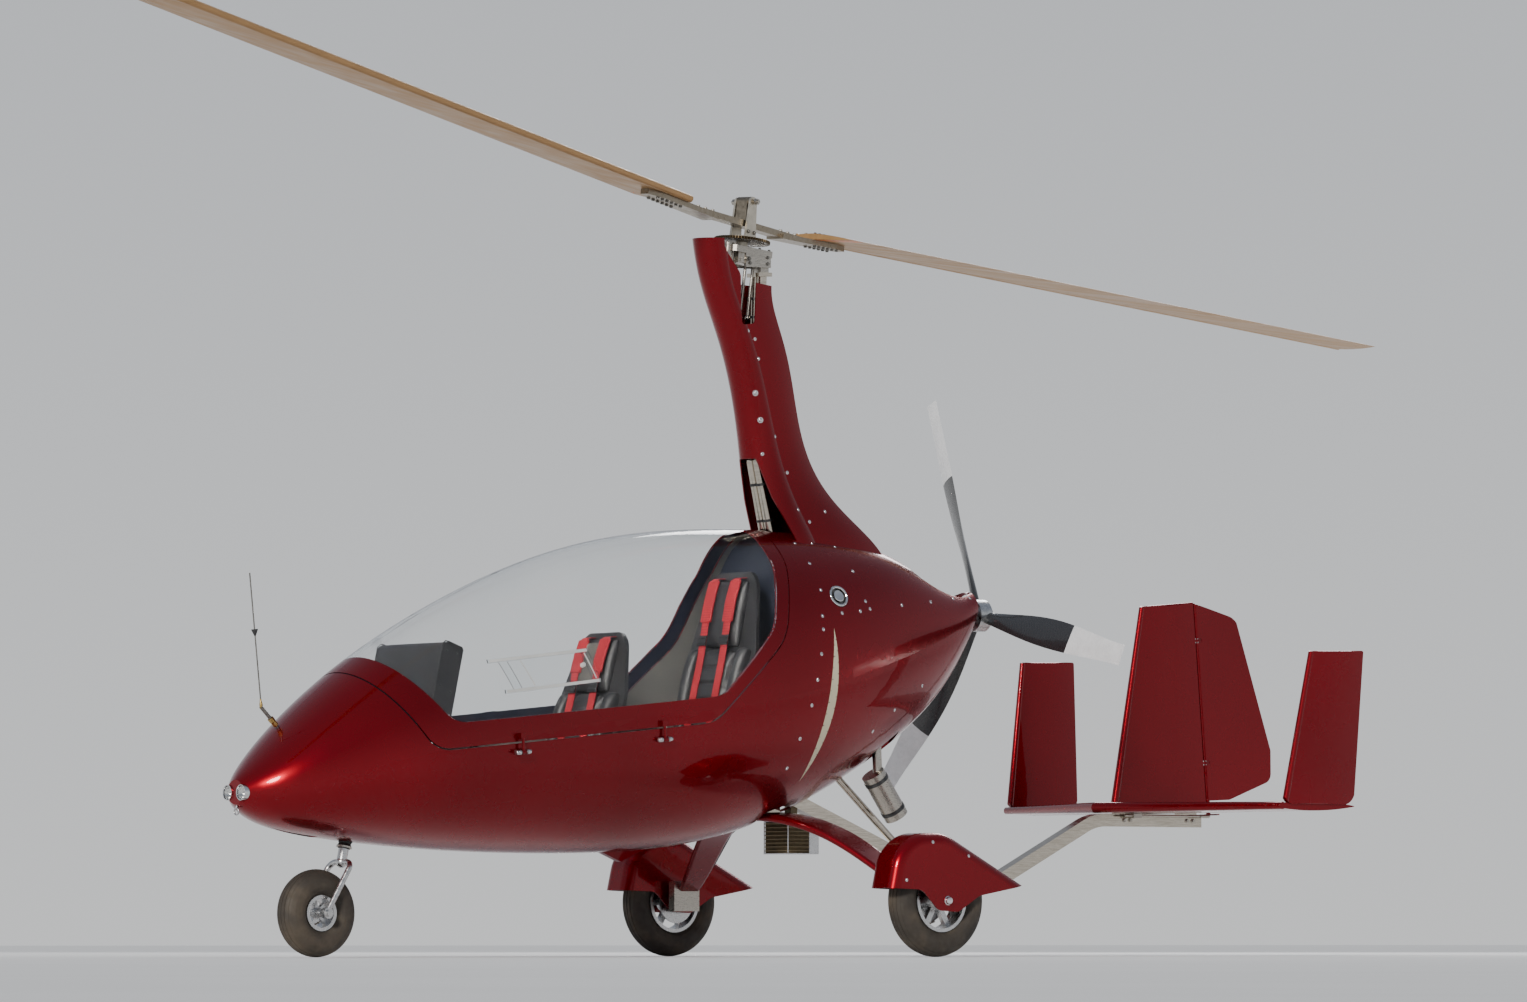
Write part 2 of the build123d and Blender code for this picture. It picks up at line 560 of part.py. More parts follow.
def rotor_blade(side):
    """Airfoil blade along X to one side, its root cut back at the trailing edge."""
    lead = BLADE_CHORD * 0.3 * side
    trail = -BLADE_CHORD * 0.7 * side
    nose = lead - side * 22
    t = BLADE_THICKNESS
    with BuildSketch(Plane.YZ.offset(side * BLADE_ROOT)) as sketch:
        with BuildLine():
            ThreePointArc((nose, t * 0.55), (lead, 0), (nose, -t * 0.35))
            ThreePointArc((nose, t * 0.55), (0, t * 0.62), (trail, 0))
            ThreePointArc((nose, -t * 0.35), (0, -t * 0.4), (trail, 0))
        make_face()
    blade = extrude(sketch.sketch.faces()[0], amount=ROTOR_RADIUS - BLADE_ROOT, dir=(side, 0, 0))
    root = side * (BLADE_ROOT - 1)
    corner = Polygon((root, trail * 0.35), (root, trail * 1.1), (root + side * 120, trail * 1.1), align=None)
    return blade - Pos(0, 0, -40) * extrude(corner, amount=80, dir=(0, 0, 1))


def prop_section(radius, chord, pitch, thick):
    """Lens-shaped blade section on a blade that points up."""
    plane = Plane(origin=(0, 0, radius), x_dir=(sin(radians(pitch)), cos(radians(pitch)), 0), z_dir=(0, 0, 1))
    with BuildSketch(plane) as sketch:
        with BuildLine():
            ThreePointArc((-chord * 0.6, 0), (0, thick * 0.7), (chord * 0.4, 0))
            ThreePointArc((-chord * 0.6, 0), (0, -thick * 0.3), (chord * 0.4, 0))
        make_face()
    return sketch.sketch.faces()[0]


def make_propeller():
    """Three-blade propeller on its hub behind the cowl."""
    centre = Pos(PROP_X, 0, PROP_Z)
    hub = rod((-28, 0, 0), (28, 0, 0), PROP_HUB_RADIUS) + rod((0, 0, 0), (75, 0, 0), 30)
    hub += rod((-40, 0, 0), (-28, 0, 0), 40)
    save("propeller_hub", centre * hub)
    blade = Solid.make_loft([prop_section(*row).outer_wire() for row in PROP_SECTIONS])
    blades = []
    for index in range(3):
        angle = PROP_PHASE - 90 + 120 * index
        blades.append(centre * Rot(angle, 0, 0) * blade - centre * hub)
    save("propeller_blades", Compound(children=blades))


def wheel_parts(tyre_radius, tyre_width, rim_radius, spokes):
    """Rim with spokes and tyre about the Y axis at the origin."""
    half = tyre_width / 2
    seat = half * 0.62
    with BuildSketch(Plane.XY) as tyre_sketch:
        with BuildLine():
            Polyline((rim_radius, seat), (rim_radius - 6, seat - 8), (rim_radius - 6, -seat + 8),
                     (rim_radius, -seat))
            Line((rim_radius, -seat), (rim_radius + 6, -seat - 6))
            ThreePointArc((rim_radius + 6, -seat - 6), ((rim_radius + tyre_radius) / 2 + 4, -half),
                          (tyre_radius - 22, -half + 10))
            ThreePointArc((tyre_radius - 22, -half + 10), (tyre_radius, 0), (tyre_radius - 22, half - 10))
            ThreePointArc((tyre_radius - 22, half - 10), ((rim_radius + tyre_radius) / 2 + 4, half),
                          (rim_radius + 6, seat + 6))
            Line((rim_radius + 6, seat + 6), (rim_radius, seat))
        make_face()
    tyre = revolve(tyre_sketch.sketch, axis=Axis.Y, revolution_arc=360)
    barrel = rod((0, -seat, 0), (0, seat, 0), rim_radius - 6.4)
    barrel -= rod((0, -seat - 1, 0), (0, seat + 1, 0), rim_radius - 14)
    for side in (-1, 1):
        lip = rod((0, side * (seat + 0.5), 0), (0, side * (seat + 6), 0), rim_radius - 1)
        lip += rod((0, side * (seat - 2), 0), (0, side * (seat + 1), 0), rim_radius - 6.4)
        lip -= rod((0, side * (seat - 5), 0), (0, side * (seat + 9), 0), rim_radius - 14)
        barrel += lip
    hub_radius = rim_radius * 0.3
    rim = barrel + rod((0, -seat, 0), (0, seat, 0), hub_radius)
    for index in range(spokes):
        spoke = box(hub_radius * 0.7, rim_radius - 9, -11, 11, -11, 11)
        rim += Rot(0, 360 * index / spokes, 0) * spoke
    rim -= rod((0, -seat - 20, 0), (0, seat + 20, 0), AXLE_RADIUS + 0.3)
    return rim, tyre


def make_gear_legs():
    """Bow leg of both sides as one curved spring."""
    faces = []
    for y, x, z, chord, thick in GEAR_LEG_ROWS:
        plane = Plane(origin=(x, y, z), x_dir=(1, 0, 0), z_dir=(0, 1, 0))
        faces.append(plane * RectangleRounded(chord, thick, thick * 0.45))
    leg = Solid.make_loft([face.faces()[0].outer_wire() for face in faces])
    return leg + mirror(leg, about=Plane.XZ)


def brake_caliper(side):
    """Plate from the axle and a caliper astride the brake disc, about the wheel centre."""
    y0, y1 = [side * y for y in CALIPER_PLATE_Y]
    caliper = box(-96, -52, side * CALIPER_INNER, y0, -24, 24)
    caliper -= box(-86, -20, side * DISC_SLOT[0], side * DISC_SLOT[1], -25, 25)
    plate = box(-60, 0, y0, y1, -14, 14) + rod((0, y0, 0), (0, y1, 0), 26)
    return caliper + plate


def make_main_gear(legs):
    """Bow legs, stub axles with brakes, brake lines, wheels and spats on both sides."""
    rim, tyre = wheel_parts(MAIN_TYRE_RADIUS, MAIN_TYRE_WIDTH, MAIN_RIM_RADIUS, 6)
    half_track = TRACK / 2
    spat = spat_shape()
    save("gear_bow", legs)
    lines = []
    for name, side in (("left", 1), ("right", -1)):
        place = Pos(MAIN_X, side * half_track, MAIN_TYRE_RADIUS)
        disc_y = side * DISC_Y
        disc = rod((0, disc_y - 3, 0), (0, disc_y + 3, 0), DISC_RADIUS) + rod((0, 0, 0), (0, disc_y, 0), 34)
        bore = rod((0, -100, 0), (0, 100, 0), AXLE_RADIUS + 0.3)
        save("main_rim_" + name, place * (rim + disc - bore))
        save("main_tyre_" + name, place * tyre)
        inner = side * (AXLE_BLOCK_Y - half_track)
        axle = rod((0, inner, 0), (0, side * (SPAT_WIDTH / 2 + 8), 0), AXLE_RADIUS)
        block = box(-45, 75, inner, inner + side * 35, -35, 80)
        save("axle_" + name, place * (axle + block + brake_caliper(side)))
        save("wheel_spat_" + name, place * spat)
        route = []
        for y, x, z, chord, thick in GEAR_LEG_ROWS[1:]:
            route.append((x - chord / 2 - BRAKE_LINE_RADIUS, side * y, z))
        lines.append(bent_rod(route, BRAKE_LINE_RADIUS) - legs)
    save("brake_lines", Compound(children=lines))


def spat_shape():
    """Half spat over the wheel, open below, with a pointed tail and a lobe at the axle."""
    dropped = [(SPAT_UPPER[-1][0], -300.0, 0.0), (SPAT_UPPER[0][0], -300.0, 0.0)]
    layers = []
    for lower, wall in ((SPAT_LOWER, 0.0), (dropped, SPAT_WALL)):
        layer = side_prism(SPAT_UPPER + lower, SPAT_WIDTH / 2 - wall, wall)
        rims = layer.edges().filter_by(Axis.Y, reverse=True)
        layers.append(fillet([edge for edge in rims if edge.center().Z > 62.0], SPAT_ROUND - wall))
    bore = rod((0, -SPAT_WIDTH, 0), (0, SPAT_WIDTH, 0), AXLE_RADIUS + 0.3)
    return layers[0] - layers[1] - bore


def bellows(length, radius, depth, folds):
    """Pleated sleeve along the Z axis."""
    points = [(0.0, 0.0)]
    for index in range(folds):
        z = length * index / folds
        points.append((radius - depth, z))
        points.append((radius, z + length * 0.5 / folds))
    points += [(radius - depth, length), (0.0, length)]
    return revolve(Plane.XZ * Polygon(*points, align=None), axis=Axis.Z, revolution_arc=360)


def make_nose_gear(outer):
    """Raked steering leg with bellows, tube fork, axle and wheel."""
    rim, tyre = wheel_parts(NOSE_TYRE_RADIUS, NOSE_TYRE_WIDTH, NOSE_RIM_RADIUS, 5)
    place = Pos(NOSE_X, 0, NOSE_TYRE_RADIUS)
    save("nose_rim", place * rim)
    save("nose_tyre", place * tyre)
    top = Vector(NOSE_PIVOT_TOP[0], 0, NOSE_PIVOT_TOP[1])
    down = Vector(NOSE_PIVOT_DOWN[0], 0, NOSE_PIVOT_DOWN[1])
    sleeve = Plane(origin=top, x_dir=(0, 1, 0), z_dir=down).location * bellows(NOSE_BELLOWS_LENGTH, 27, 5, 6)
    save("nose_leg_bellows", sleeve - outer)
    crown = top + down * NOSE_CROWN_LENGTH
    hub = Vector(NOSE_X, 0, NOSE_TYRE_RADIUS)
    arm_y = NOSE_TYRE_WIDTH / 2 + 16
    fork_plane = Plane(origin=crown, x_dir=(0, 1, 0), z_dir=Vector(0, 1, 0).cross(hub - crown))
    reach = (hub - crown).length
    route = [(-arm_y, reach), (-arm_y, 0), (arm_y, 0), (arm_y, reach)]
    fork = bent_bar(Circle(11), route, (34, 34), fork_plane)
    fork += rod(top + down * (NOSE_BELLOWS_LENGTH + PIVOT_GAP), crown, 19) + Pos(*crown) * Sphere(21)
    for side in (-1, 1):
        boss_y = side * (arm_y - 13), side * (arm_y + 13)
        fork += rod((NOSE_X, boss_y[0], NOSE_TYRE_RADIUS), (NOSE_X, boss_y[1], NOSE_TYRE_RADIUS), 20)
    end_y = arm_y + 13 + NOSE_AXLE_END
    fork += rod((NOSE_X, -end_y, NOSE_TYRE_RADIUS), (NOSE_X, end_y, NOSE_TYRE_RADIUS), AXLE_RADIUS)
    save("nose_fork", fork)


def airfoil_wire(plane, front, rear, thick, edge):
    """Outline of an airfoil on a plane whose X runs forward: round nose, given edge thickness at the rear."""
    half = thick / 2
    nose = front - (front - rear) * 0.06
    crown = front - (front - rear) * 0.35
    with BuildSketch(plane) as sketch:
        with BuildLine():
            ThreePointArc((nose, -half * 0.62), (front, 0), (nose, half * 0.62))
            ThreePointArc((nose, half * 0.62), (crown, half), (rear, edge / 2))
            Line((rear, edge / 2), (rear, -edge / 2))
            ThreePointArc((rear, -edge / 2), (crown, -half), (nose, -half * 0.62))
        make_face()
    return sketch.sketch.faces()[0].outer_wire()


def rounded_panel(outline, thick, radius):
    """Upright panel in the centre plane from a side outline, all its rims rounded."""
    panel = side_prism(outline, thick / 2)
    return fillet(panel.edges().filter_by(Axis.Y, reverse=True), radius)


def at_height(low, high, z):
    """x at height z of the straight line through two points of x and z."""
    return low[0] + (high[0] - low[0]) * (z - low[1]) / (high[1] - low[1])


def airfoil_fin(outline, thick, edge):
    """Fin of airfoil section with rounded tips from its side outline."""
    lead, trail = [(x, z) for x, z, _ in outline[:2]], [(x, z) for x, z, _ in outline[:1:-1]]
    wires = []
    for z in (outline[0][1] - FIN_MARGIN, outline[2][1] + FIN_MARGIN):
        plane = Plane(origin=(0, 0, z))
        wires.append(airfoil_wire(plane, at_height(*lead, z), at_height(*trail, z), thick, edge))
    trim = [(x + FIN_MARGIN, z, radius) for x, z, radius in outline[:2]]
    trim += [(x - FIN_MARGIN / 2, z, radius) for x, z, radius in outline[2:]]
    return Solid.make_loft(wires, True) & rounded_panel(trim, thick + 2, 8)


def make_tail():
    """Tailplane with two end fins, a centre fin and the rudder."""
    (root_front, _), *_, (tip_front, tip_y), (tip_rear, _), (root_rear, _) = TAILPLANE_OUTLINE
    wires = []
    for y, front, rear, thick in ((0, root_front, root_rear, TAIL_THICKNESS),
                                  (tip_y, tip_front, tip_rear, TAIL_THICKNESS * 0.8)):
        plane = Plane(origin=(0, y, TAIL_Z), x_dir=(1, 0, 0), z_dir=(0, -1, 0))
        wires.append(airfoil_wire(plane, front, rear, thick, FIN_EDGE))
    half_plane = Solid.make_loft(wires, True)
    tailplane = half_plane + mirror(half_plane, about=Plane.XZ)
    for side in (-1, 1):
        tilt = Pos(0, side * (TAIL_HALF_SPAN - 20), TAIL_Z) * Rot(-side * FIN_CANT, 0, 0)
        fin = tilt * Pos(0, 0, -TAIL_Z) * airfoil_fin(END_FIN_OUTLINE, FIN_THICKNESS, FIN_EDGE)
        save("fin_left" if side > 0 else "fin_right", fin)
        tailplane -= fin
    centre_fin = airfoil_fin(CENTRE_FIN_OUTLINE, FIN_THICKNESS, RUDDER_NOSE * 2)
    tailplane -= centre_fin
    tailplane -= box(-2330, -2262, -30, 30, 500, 605)
    save("tailplane", tailplane)
    rudder, lugs = rudder_parts()
    save("centre_fin", centre_fin + lugs)
    save("rudder", rudder)
    return tailplane


def rudder_parts():
    """Rudder with its pins, horn and ball, and the lugs that stand on the fin."""
    (x0, z0), (x1, z1) = RUDDER_AXIS
    foot = Vector(x0, 0, z0)
    up = (Vector(x1, 0, z1) - foot).normalized()
    wires = []
    for x_trail, z in RUDDER_TRAIL:
        x_axis = at_height(*RUDDER_AXIS, z)
        with BuildSketch(Plane(origin=(0, 0, z))) as sketch:
            with BuildLine():
                ThreePointArc((x_axis, -RUDDER_NOSE), (x_axis + RUDDER_NOSE, 0), (x_axis, RUDDER_NOSE))
                Polyline((x_axis, RUDDER_NOSE), (x_trail, 2), (x_trail, -2), (x_axis, -RUDDER_NOSE))
            make_face()
        wires.append(sketch.sketch.faces()[0].outer_wire())
    rudder = Solid.make_loft(wires, True) & rounded_panel(RUDDER_OUTLINE, 2 * RUDDER_NOSE + 2, 4)
    lugs = None
    for distance in RUDDER_LUGS:
        place = Plane(origin=foot + up * distance, x_dir=Vector(0, 1, 0).cross(up), z_dir=up).location
        ends = (0, 0, -RUDDER_LUG_HALF), (0, 0, RUDDER_LUG_HALF)
        lug = rod(*ends, 8) + box(0, 34, -6, 6, ends[0][2], ends[1][2])
        lug = place * (lug - rod((0, 0, -20), (0, 0, 20), RUDDER_PIN_RADIUS + 0.3))
        lugs = lug if lugs is None else lugs + lug
        rudder -= place * box(-16, 20, -20, 20, -RUDDER_NOTCH_HALF, RUDDER_NOTCH_HALF)
        reach = RUDDER_NOTCH_HALF + 6
        rudder += place * rod((0, 0, -reach), (0, 0, reach), RUDDER_PIN_RADIUS)
    place = Plane(origin=foot, x_dir=Vector(0, 1, 0).cross(up), z_dir=up).location
    horn = rod((0, 0, -HORN_DROP), (0, 0, 12), 9)
    horn_plan = Polygon((-10, -12), (10, -12), (7, HORN_REACH), (-7, HORN_REACH), align=None)
    horn += Pos(0, 0, -HORN_DROP) * extrude(horn_plan, amount=5)
    horn += Pos(0, HORN_REACH, -HORN_DROP - 5) * Sphere(HORN_BALL_RADIUS)
    return rudder + place * horn, lugs


def push_rod_z():
    """Height of the push rod, level with the ball of the rudder horn."""
    return RUDDER_AXIS[0][1] - HORN_DROP - 5


def make_underside(outer, legs, tailplane):
    """Keel tube, strut, rudder push rod, muffler, oil cooler, belly wedge and engine."""
    saddle = box(-142, -76, -40, 40, GEAR_LEG_ROWS[0][2], 590) - legs
    side_plane = Plane(origin=(0, 0, 0), x_dir=(1, 0, 0), z_dir=(0, -1, 0))
    bar = bent_bar(Rectangle(KEEL_TUBE, KEEL_TUBE), KEEL_POINTS, KEEL_BENDS, side_plane)
    bore = KEEL_TUBE - 2 * KEEL_WALL
    keel = bar - bent_bar(Rectangle(bore, bore), KEEL_POINTS, KEEL_BENDS, side_plane) + (saddle - bar)
    tail_top = KEEL_POINTS[-1][1] + KEEL_TUBE / 2
    for x in KEEL_PADS_X:
        keel += box(x - 35, x + 35, -25, 25, tail_top, tail_top + 22) - tailplane
    save("keel_tube", keel)
    rod_z = push_rod_z()
    clamp = box(PUSH_ROD_X[0] - 20, PUSH_ROD_X[0] + 20, KEEL_TUBE / 2, HORN_REACH + 8, rod_z - 10, rod_z + 8)
    push_rod = rod((PUSH_ROD_X[0] + 60, HORN_REACH, rod_z), (PUSH_ROD_X[1], HORN_REACH, rod_z), 4)
    push_rod += rod((PUSH_ROD_X[1] + 50, HORN_REACH, rod_z), (PUSH_ROD_X[1] + 5, HORN_REACH, rod_z), 7)
    save("rudder_linkage", clamp + push_rod)
    (x0, z0), (x1, z1) = STRUT_ENDS
    save("keel_strut", rod((x0, 0, z0), (x1, 0, z1), STRUT_RADIUS) - outer - bar)
    dx, dy, dz = ENGINE_SIZE
    cx, cy, cz = ENGINE_CENTRE
    pipe = rod((-545, EXHAUST_Y, cz - dz / 2 - 1.5), (-560, EXHAUST_Y, 660), 18)
    save("muffler", rod((-535, EXHAUST_Y, 690), (-650, EXHAUST_Y, 530), 46) + pipe)
    save("oil_cooler", box(-300, -152, -75, 75, 385, 510) + box(-240, -210, -20, 20, 505, 575) - bar)
    block = box(cx - dx / 2, cx + dx / 2, cy - dy / 2, cy + dy / 2, cz - dz / 2, cz + dz / 2)
    block += rod((cx - dx / 2 + 20, 0, PROP_Z), (PROP_X + 75.3, 0, PROP_Z), 24)
    save("engine_block", block)
    wedge = side_prism([(x, z, 0) for x, z in WEDGE_OUTLINE], WEDGE_HALF_WIDTH)
    save("belly_wedge", wedge - outer)


def make_hinges(outer):
    """Two canopy hinges on one axis: knuckle and arm on the canopy, lugs and pin on the tub."""
    front, rear = [Vector(*point) for point in HINGE_CENTRES]
    forward = (front - rear).normalized()
    arms = []
    brackets = []
    for centre in (front, rear):
        place = Plane(origin=centre, x_dir=forward, z_dir=forward.cross(Vector(0, 1, 0))).location
        arm = rod((-10, 0, 0), (10, 0, 0), HINGE_KNUCKLE_RADIUS) + rod((0, 0, 0), (0, 2, HINGE_ARM_RISE), 5.5)
        arm += box(-11, 11, -60, 6, HINGE_ARM_RISE - 2, HINGE_ARM_RISE + 20)
        arms.append(place * (arm - rod((-20, 0, 0), (20, 0, 0), HINGE_PIN_RADIUS + 0.3)) - outer)
        bracket = rod((-27, 0, 0), (27, 0, 0), HINGE_PIN_RADIUS)
        for side in (-1, 1):
            bracket += rod((side * 14, 0, 0), (side * 24, 0, 0), 9) + box(side * 14, side * 24, -70, 0, -9, 9)
            cap = rod((side * 20, 0, 0), (side * 34, 0, 0), 8)
            bracket += fillet(cap.edges().filter_by(GeomType.CIRCLE).sort_by(Axis.X)[-1 if side > 0 else 0], 6)
        brackets.append(place * bracket - outer)
    save("canopy_hinges", Compound(children=arms))
    save("hinge_brackets", Compound(children=brackets))


def make_fittings(outer):
    """Hinges, lights, antenna and pitot ring."""
    make_hinges(outer)
    antenna = rod((2100, 0, 810), (2190, 0, 900), 7) + rod((2188, 0, 898), (2240, 0, 1380), 2.5)
    save("nose_antenna", antenna - outer)
    lamps = [rod((2250, y, LAMP_Z), (2306, y, LAMP_Z), LAMP_RADIUS) for y in (-LAMP_Y, LAMP_Y)]
    save("landing_lights", Compound(children=lamps))
    ring = Plane(origin=PITOT_CENTRE, x_dir=(0, 1, 0), z_dir=(1, 0, 0)).location * Torus(13, 3)
    x, y, z = PITOT_CENTRE
    save("pitot_ring", ring + (rod((x, y, z + 12), (x - 6, y, z + 50), 4) - outer))


os.makedirs("parts", exist_ok=True)
envelope = make_body()
gear_legs = make_gear_legs()
make_seats()
make_mast(envelope)
make_rotor()
make_propeller()
make_main_gear(gear_legs)
make_nose_gear(envelope)
tail_surface = make_tail()
make_underside(envelope, gear_legs, tail_surface)
make_fittings(envelope)
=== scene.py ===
import math

import bmesh
import bpy
from mathutils import Matrix, Vector
from mathutils.bvhtree import BVHTree


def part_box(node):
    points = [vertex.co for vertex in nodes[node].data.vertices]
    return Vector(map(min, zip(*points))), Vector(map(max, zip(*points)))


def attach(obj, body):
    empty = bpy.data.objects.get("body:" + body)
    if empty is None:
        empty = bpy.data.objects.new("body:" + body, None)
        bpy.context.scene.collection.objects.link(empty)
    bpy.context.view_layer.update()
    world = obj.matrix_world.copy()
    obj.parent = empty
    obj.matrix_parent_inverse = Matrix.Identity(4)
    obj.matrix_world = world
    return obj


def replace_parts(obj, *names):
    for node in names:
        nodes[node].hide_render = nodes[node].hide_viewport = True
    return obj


# An enclosed two-seat gyroplane. All lengths are in metres, in the frame of the
# CAD: +X to the nose, +Y to port, +Z up, on the ground under the rotor hub.

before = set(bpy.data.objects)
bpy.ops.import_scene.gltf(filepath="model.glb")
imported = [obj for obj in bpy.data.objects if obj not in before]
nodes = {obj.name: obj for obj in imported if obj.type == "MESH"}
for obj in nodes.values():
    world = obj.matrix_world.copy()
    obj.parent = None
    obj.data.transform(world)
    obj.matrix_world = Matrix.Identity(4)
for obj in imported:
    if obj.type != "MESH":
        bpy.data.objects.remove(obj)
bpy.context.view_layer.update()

HUB_Z = 2.752
ROTOR_TILT = math.radians(6.5)
ROTOR_TURN = math.radians(15.6)
BLADE_CONE = math.radians(3.2)
SPIN_AXIS = (-math.sin(ROTOR_TILT), 0.0, math.cos(ROTOR_TILT))
RING_GEAR_LEVELS = (-0.0685, -0.0583)
PROP_X = -1.130
PROP_Z = 1.305
PROP_PALE_FROM = 0.56
CAST_REACH = 2.0


# Materials

def new_material(name):
    """Empty node material and its tree."""
    mat = bpy.data.materials.new(name)
    mat.use_nodes = True
    return mat, mat.node_tree


def put(tree, socket, value):
    """Links a socket to another one, or sets its own value or colour."""
    if hasattr(value, "node"):
        tree.links.new(value, socket)
    elif socket.type == "RGBA":
        socket.default_value = (*value, 1.0)
    else:
        socket.default_value = value


def add(tree, kind, **values):
    """New shader node with its inputs set by name and its properties by attribute."""
    node = tree.nodes.new("ShaderNode" + kind)
    for key, value in values.items():
        if key in node.inputs:
            put(tree, node.inputs[key], value)
        else:
            setattr(node, key, value)
    return node


def feed(mat, inputs):
    """Sets inputs of the material's Principled shader and returns the material."""
    tree = mat.node_tree
    shader = next(n for n in tree.nodes if n.type == "BSDF_PRINCIPLED")
    for name, value in inputs.items():
        put(tree, shader.inputs[name], value)
    return mat


def coords(tree):
    return add(tree, "TexCoord").outputs["Object"]


def noise(tree, scale, detail=3.0, vector=None):
    node = add(tree, "TexNoise", Scale=scale, Detail=detail, Vector=vector or coords(tree))
    return node.outputs["Fac"]


def ramp(tree, fac, stops):
    """Colour ramp over fac from rows of position and colour."""
    node = add(tree, "ValToRGB", Fac=fac)
    elements = node.color_ramp.elements
    while len(elements) < len(stops):
        elements.new(0.5)
    for element, (position, colour) in zip(elements, stops):
        element.position = position
        element.color = (*colour, 1.0)
    return node.outputs["Color"]


def tones(tree, fac, dark, light, start=0.3, end=0.7):
    """Two tones over fac."""
    return ramp(tree, fac, [(start, dark), (end, light)])


def span(tree, fac, low, high, start=0.3, end=0.7):
    """Maps fac from start..end to low..high."""
    levels = {"Value": fac, "From Min": start, "From Max": end, "To Min": low, "To Max": high}
    return add(tree, "MapRange", **levels).outputs["Result"]


def mix(tree, fac, first, second):
    """Mixes two colours; each is a socket or a plain colour."""
    node = add(tree, "Mix", data_type="RGBA")
    for index, value in ((0, fac), (6, first), (7, second)):
        put(tree, node.inputs[index], value)
    return node.outputs[2]


def math_node(tree, operation, first, second=0.0, kind="Math", output="Value"):
    node = add(tree, kind, operation=operation)
    put(tree, node.inputs[0], first)
    put(tree, node.inputs[1], second)
    return node.outputs[output]


def bump(tree, height, strength, distance=0.001):
    """Normal from a height, for a shader."""
    node = add(tree, "Bump", Strength=strength, Distance=distance, Height=height)
    return node.outputs["Normal"]


def separate(tree, vector):
    return add(tree, "SeparateXYZ", Vector=vector).outputs


def candy_paint(name, deep, bright):
    """Candy metallic lacquer: a metallic base with fine flakes below a clear coat."""
    mat, tree = new_material(name)
    base = tones(tree, noise(tree, 0.9, 2.0), deep, bright, 0.35, 0.65)
    flakes = add(tree, "TexVoronoi", Scale=700.0, Vector=coords(tree)).outputs["Color"]
    lighter = tuple(c * 1.5 for c in bright)
    return feed(mat, {
        "Base Color": mix(tree, span(tree, flakes, 0.0, 0.09, 0.0, 1.0), base, lighter),
        "Roughness": span(tree, noise(tree, 12.0, 2.0), 0.25, 0.29),
        "Metallic": 0.70,
        "Specular IOR Level": 0.1,
        "Coat Weight": 0.6,
        "Coat Roughness": 0.02,
        "Coat IOR": 1.38,
        "Normal": bump(tree, noise(tree, 90.0, 2.0), 0.004),
    })


def metal(name, dark, light, rough, stretch=(1.0, 1.0, 1.0), scale=60.0, metallic=1.0):
    """Metal with fine directional grain and slow stains."""
    mat, tree = new_material(name)
    mapping = add(tree, "Mapping", Scale=stretch, Vector=coords(tree))
    grain = noise(tree, scale, 2.0, mapping.outputs["Vector"])
    stain = span(tree, noise(tree, 4.0), 0.0, 0.35)
    return feed(mat, {
        "Base Color": mix(tree, stain, tones(tree, grain, dark, light), dark),
        "Roughness": span(tree, grain, rough * 0.75, rough * 1.3),
        "Metallic": metallic,
        "Normal": bump(tree, grain, 0.015),
    })


def plastic(name, dark, light, rough, scale=180.0, depth=0.12):
    """Moulded plastic or rubber with a fine skin."""
    mat, tree = new_material(name)
    grain = noise(tree, scale, 4.0)
    return feed(mat, {
        "Base Color": tones(tree, noise(tree, 6.0), dark, light, 0.3, 0.75),
        "Roughness": span(tree, grain, rough * 0.85, rough * 1.15),
        "Normal": bump(tree, grain, depth),
    })


def tyre_rubber():
    """Dark rubber with brown road dust on its side walls and a dull tread."""
    mat, tree = new_material("tyre_rubber")
    dust = [(0.2, (0.020, 0.017, 0.014)), (0.5, (0.045, 0.036, 0.027)), (0.85, (0.115, 0.088, 0.058))]
    return feed(mat, {
        "Base Color": ramp(tree, noise(tree, 9.0, 5.0), dust),
        "Roughness": span(tree, noise(tree, 40.0), 0.62, 0.85),
        "Normal": bump(tree, noise(tree, 300.0), 0.25),
    })


def clear_glass(name, tint, rough=0.0, ior=1.18):
    mat, tree = new_material(name)
    return feed(mat, {
        "Base Color": tones(tree, noise(tree, 3.0), tint, tuple(min(1.0, c * 1.03) for c in tint)),
        "Transmission Weight": 1.0,
        "Roughness": rough,
        "IOR": ior,
    })


def leather(name, dark, light):
    """Leatherette with a pebbled grain."""
    mat, tree = new_material(name)
    cells = add(tree, "TexVoronoi", Scale=420.0, Vector=coords(tree)).outputs["Distance"]
    return feed(mat, {
        "Base Color": tones(tree, noise(tree, 12.0, 4.0), dark, light),
        "Roughness": span(tree, cells, 0.38, 0.55, 0.0, 0.8),
        "Normal": bump(tree, cells, 0.25, 0.0006),
    })


def webbing(name, dark, light):
    """Woven belt: fine diagonal ribs."""
    mat, tree = new_material(name)
    ribs = add(tree, "TexWave", Scale=160.0, Distortion=0.6, Vector=coords(tree)).outputs["Fac"]
    return feed(mat, {
        "Base Color": tones(tree, ribs, dark, light, 0.2, 0.8),
        "Roughness": 0.75,
        "Sheen Weight": 0.05,
        "Normal": bump(tree, ribs, 0.35),
    })


